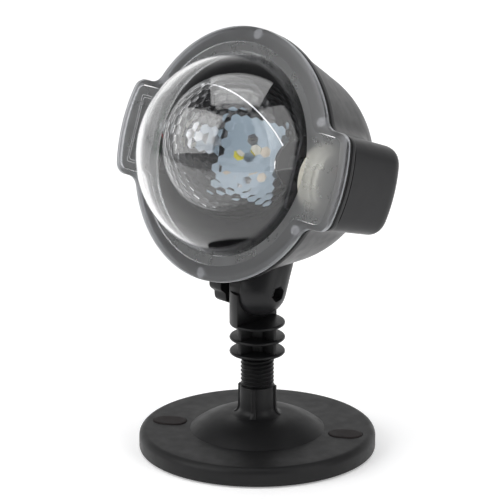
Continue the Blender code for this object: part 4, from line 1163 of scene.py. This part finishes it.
def make_camera():
    back = camera_axes()[2]
    data = bpy.data.cameras.new("camera")
    data.lens = CAMERA_LENS
    data.shift_x = CAMERA_SHIFT
    data.clip_start = 0.05
    camera = bpy.data.objects.new("camera", data)
    camera.location = CAMERA_TARGET + back * CAMERA_DISTANCE
    camera.rotation_euler = back.to_track_quat("Z", "Y").to_euler()
    bpy.context.scene.collection.objects.link(camera)
    bpy.context.scene.camera = camera


def make_floor():
    """A wide white floor, lifted towards plain white by a little light of its own."""
    mesh = bpy.data.meshes.new("floor")
    bm = bmesh.new()
    bmesh.ops.create_grid(bm, x_segments=8, y_segments=8, size=FLOOR_SIZE)
    bm.to_mesh(mesh)
    bm.free()
    made, nodes, links, shader = new_material("floor_white")
    tone = spread(nodes, links, noise(nodes, links, FLOOR_DRIFT), 0, 1)
    white = blend_colours(nodes, links, tone, (0.90, 0.90, 0.90), (0.92, 0.92, 0.92))
    links.new(white, shader.inputs["Base Color"])
    shader.inputs["Roughness"].default_value = 0.9
    shader.inputs["Specular IOR Level"].default_value = 0.1
    shader.inputs["Emission Color"].default_value = (1, 1, 1, 1)
    shader.inputs["Emission Strength"].default_value = FLOOR_GLOW
    mesh.materials.append(made)
    floor = bpy.data.objects.new("floor", mesh)
    bpy.context.scene.collection.objects.link(floor)


def softbox(name, direction, distance, wide, tall, radiance):
    """A rectangular light that faces the head, in a direction given along the camera's axes."""
    right, up, back = camera_axes()
    toward = (right * direction[0] + up * direction[1] + back * direction[2]).normalized()
    data = bpy.data.lights.new(name, "AREA")
    data.shape = "RECTANGLE"
    data.size = wide
    data.size_y = tall
    data.energy = radiance * math.pi * wide * tall
    light = bpy.data.objects.new(name, data)
    light.location = LIGHT_TARGET + toward * distance
    across = up.cross(toward).normalized()
    light.rotation_euler = Matrix((across, toward.cross(across), toward)).transposed().to_euler()
    bpy.context.scene.collection.objects.link(light)


def smooth_step(nodes, links, value, start, end):
    """0 before the start, 1 beyond the end, and smooth between."""
    step = nodes.new("ShaderNodeMapRange")
    step.interpolation_type = "SMOOTHSTEP"
    step.inputs["From Min"].default_value = start
    step.inputs["From Max"].default_value = end
    links.new(value, step.inputs["Value"])
    return step.outputs["Result"]


def make_world():
    """Dark above and on the camera's side, white low down and behind the part, and a white backdrop."""
    back = camera_axes()[2]
    world = bpy.data.worlds.new("studio")
    bpy.context.scene.world = world
    world.use_nodes = True
    nodes = world.node_tree.nodes
    links = world.node_tree.links
    background = nodes["Background"]
    coordinates = nodes.new("ShaderNodeTexCoord")
    along = nodes.new("ShaderNodeVectorMath")
    along.operation = "DOT_PRODUCT"
    along.inputs[1].default_value = (-back.x, -back.y, 0)
    links.new(coordinates.outputs["Generated"], along.inputs[0])
    split = nodes.new("ShaderNodeSeparateXYZ")
    links.new(coordinates.outputs["Generated"], split.inputs["Vector"])
    both = nodes.new("ShaderNodeMath")
    both.operation = "MULTIPLY"
    links.new(smooth_step(nodes, links, along.outputs["Value"], 0.05, 0.5), both.inputs[0])
    links.new(smooth_step(nodes, links, split.outputs["Z"], 0.75, 0.2), both.inputs[1])
    path = nodes.new("ShaderNodeLightPath")
    shown = nodes.new("ShaderNodeMath")
    shown.operation = "MAXIMUM"
    links.new(both.outputs["Value"], shown.inputs[0])
    links.new(path.outputs["Is Camera Ray"], shown.inputs[1])
    links.new(blend_colours(nodes, links, shown.outputs["Value"], (0.10, 0.10, 0.105), (1.0, 1.0, 1.0)),
              background.inputs["Color"])


make_camera()
make_world()
softbox("softbox_left", (-0.75, 0.40, 0.53), 3.4, 3.1, 2.7, 2.8)
softbox("softbox_top", (-0.03, 0.98, 0.19), 3.4, 3.0, 2.6, 2.4)
softbox("softbox_right", (0.72, 0.25, 0.65), 2.8, 1.7, 4.0, 1.8)
make_floor()
bpy.context.scene.view_settings.view_transform = "Standard"

make_front_cover()
make_gasket()
make_rear_housing()
make_ball()
make_motor()
make_light_board()
make_base()
make_stem()
make_knob()
dress_carried_nodes()
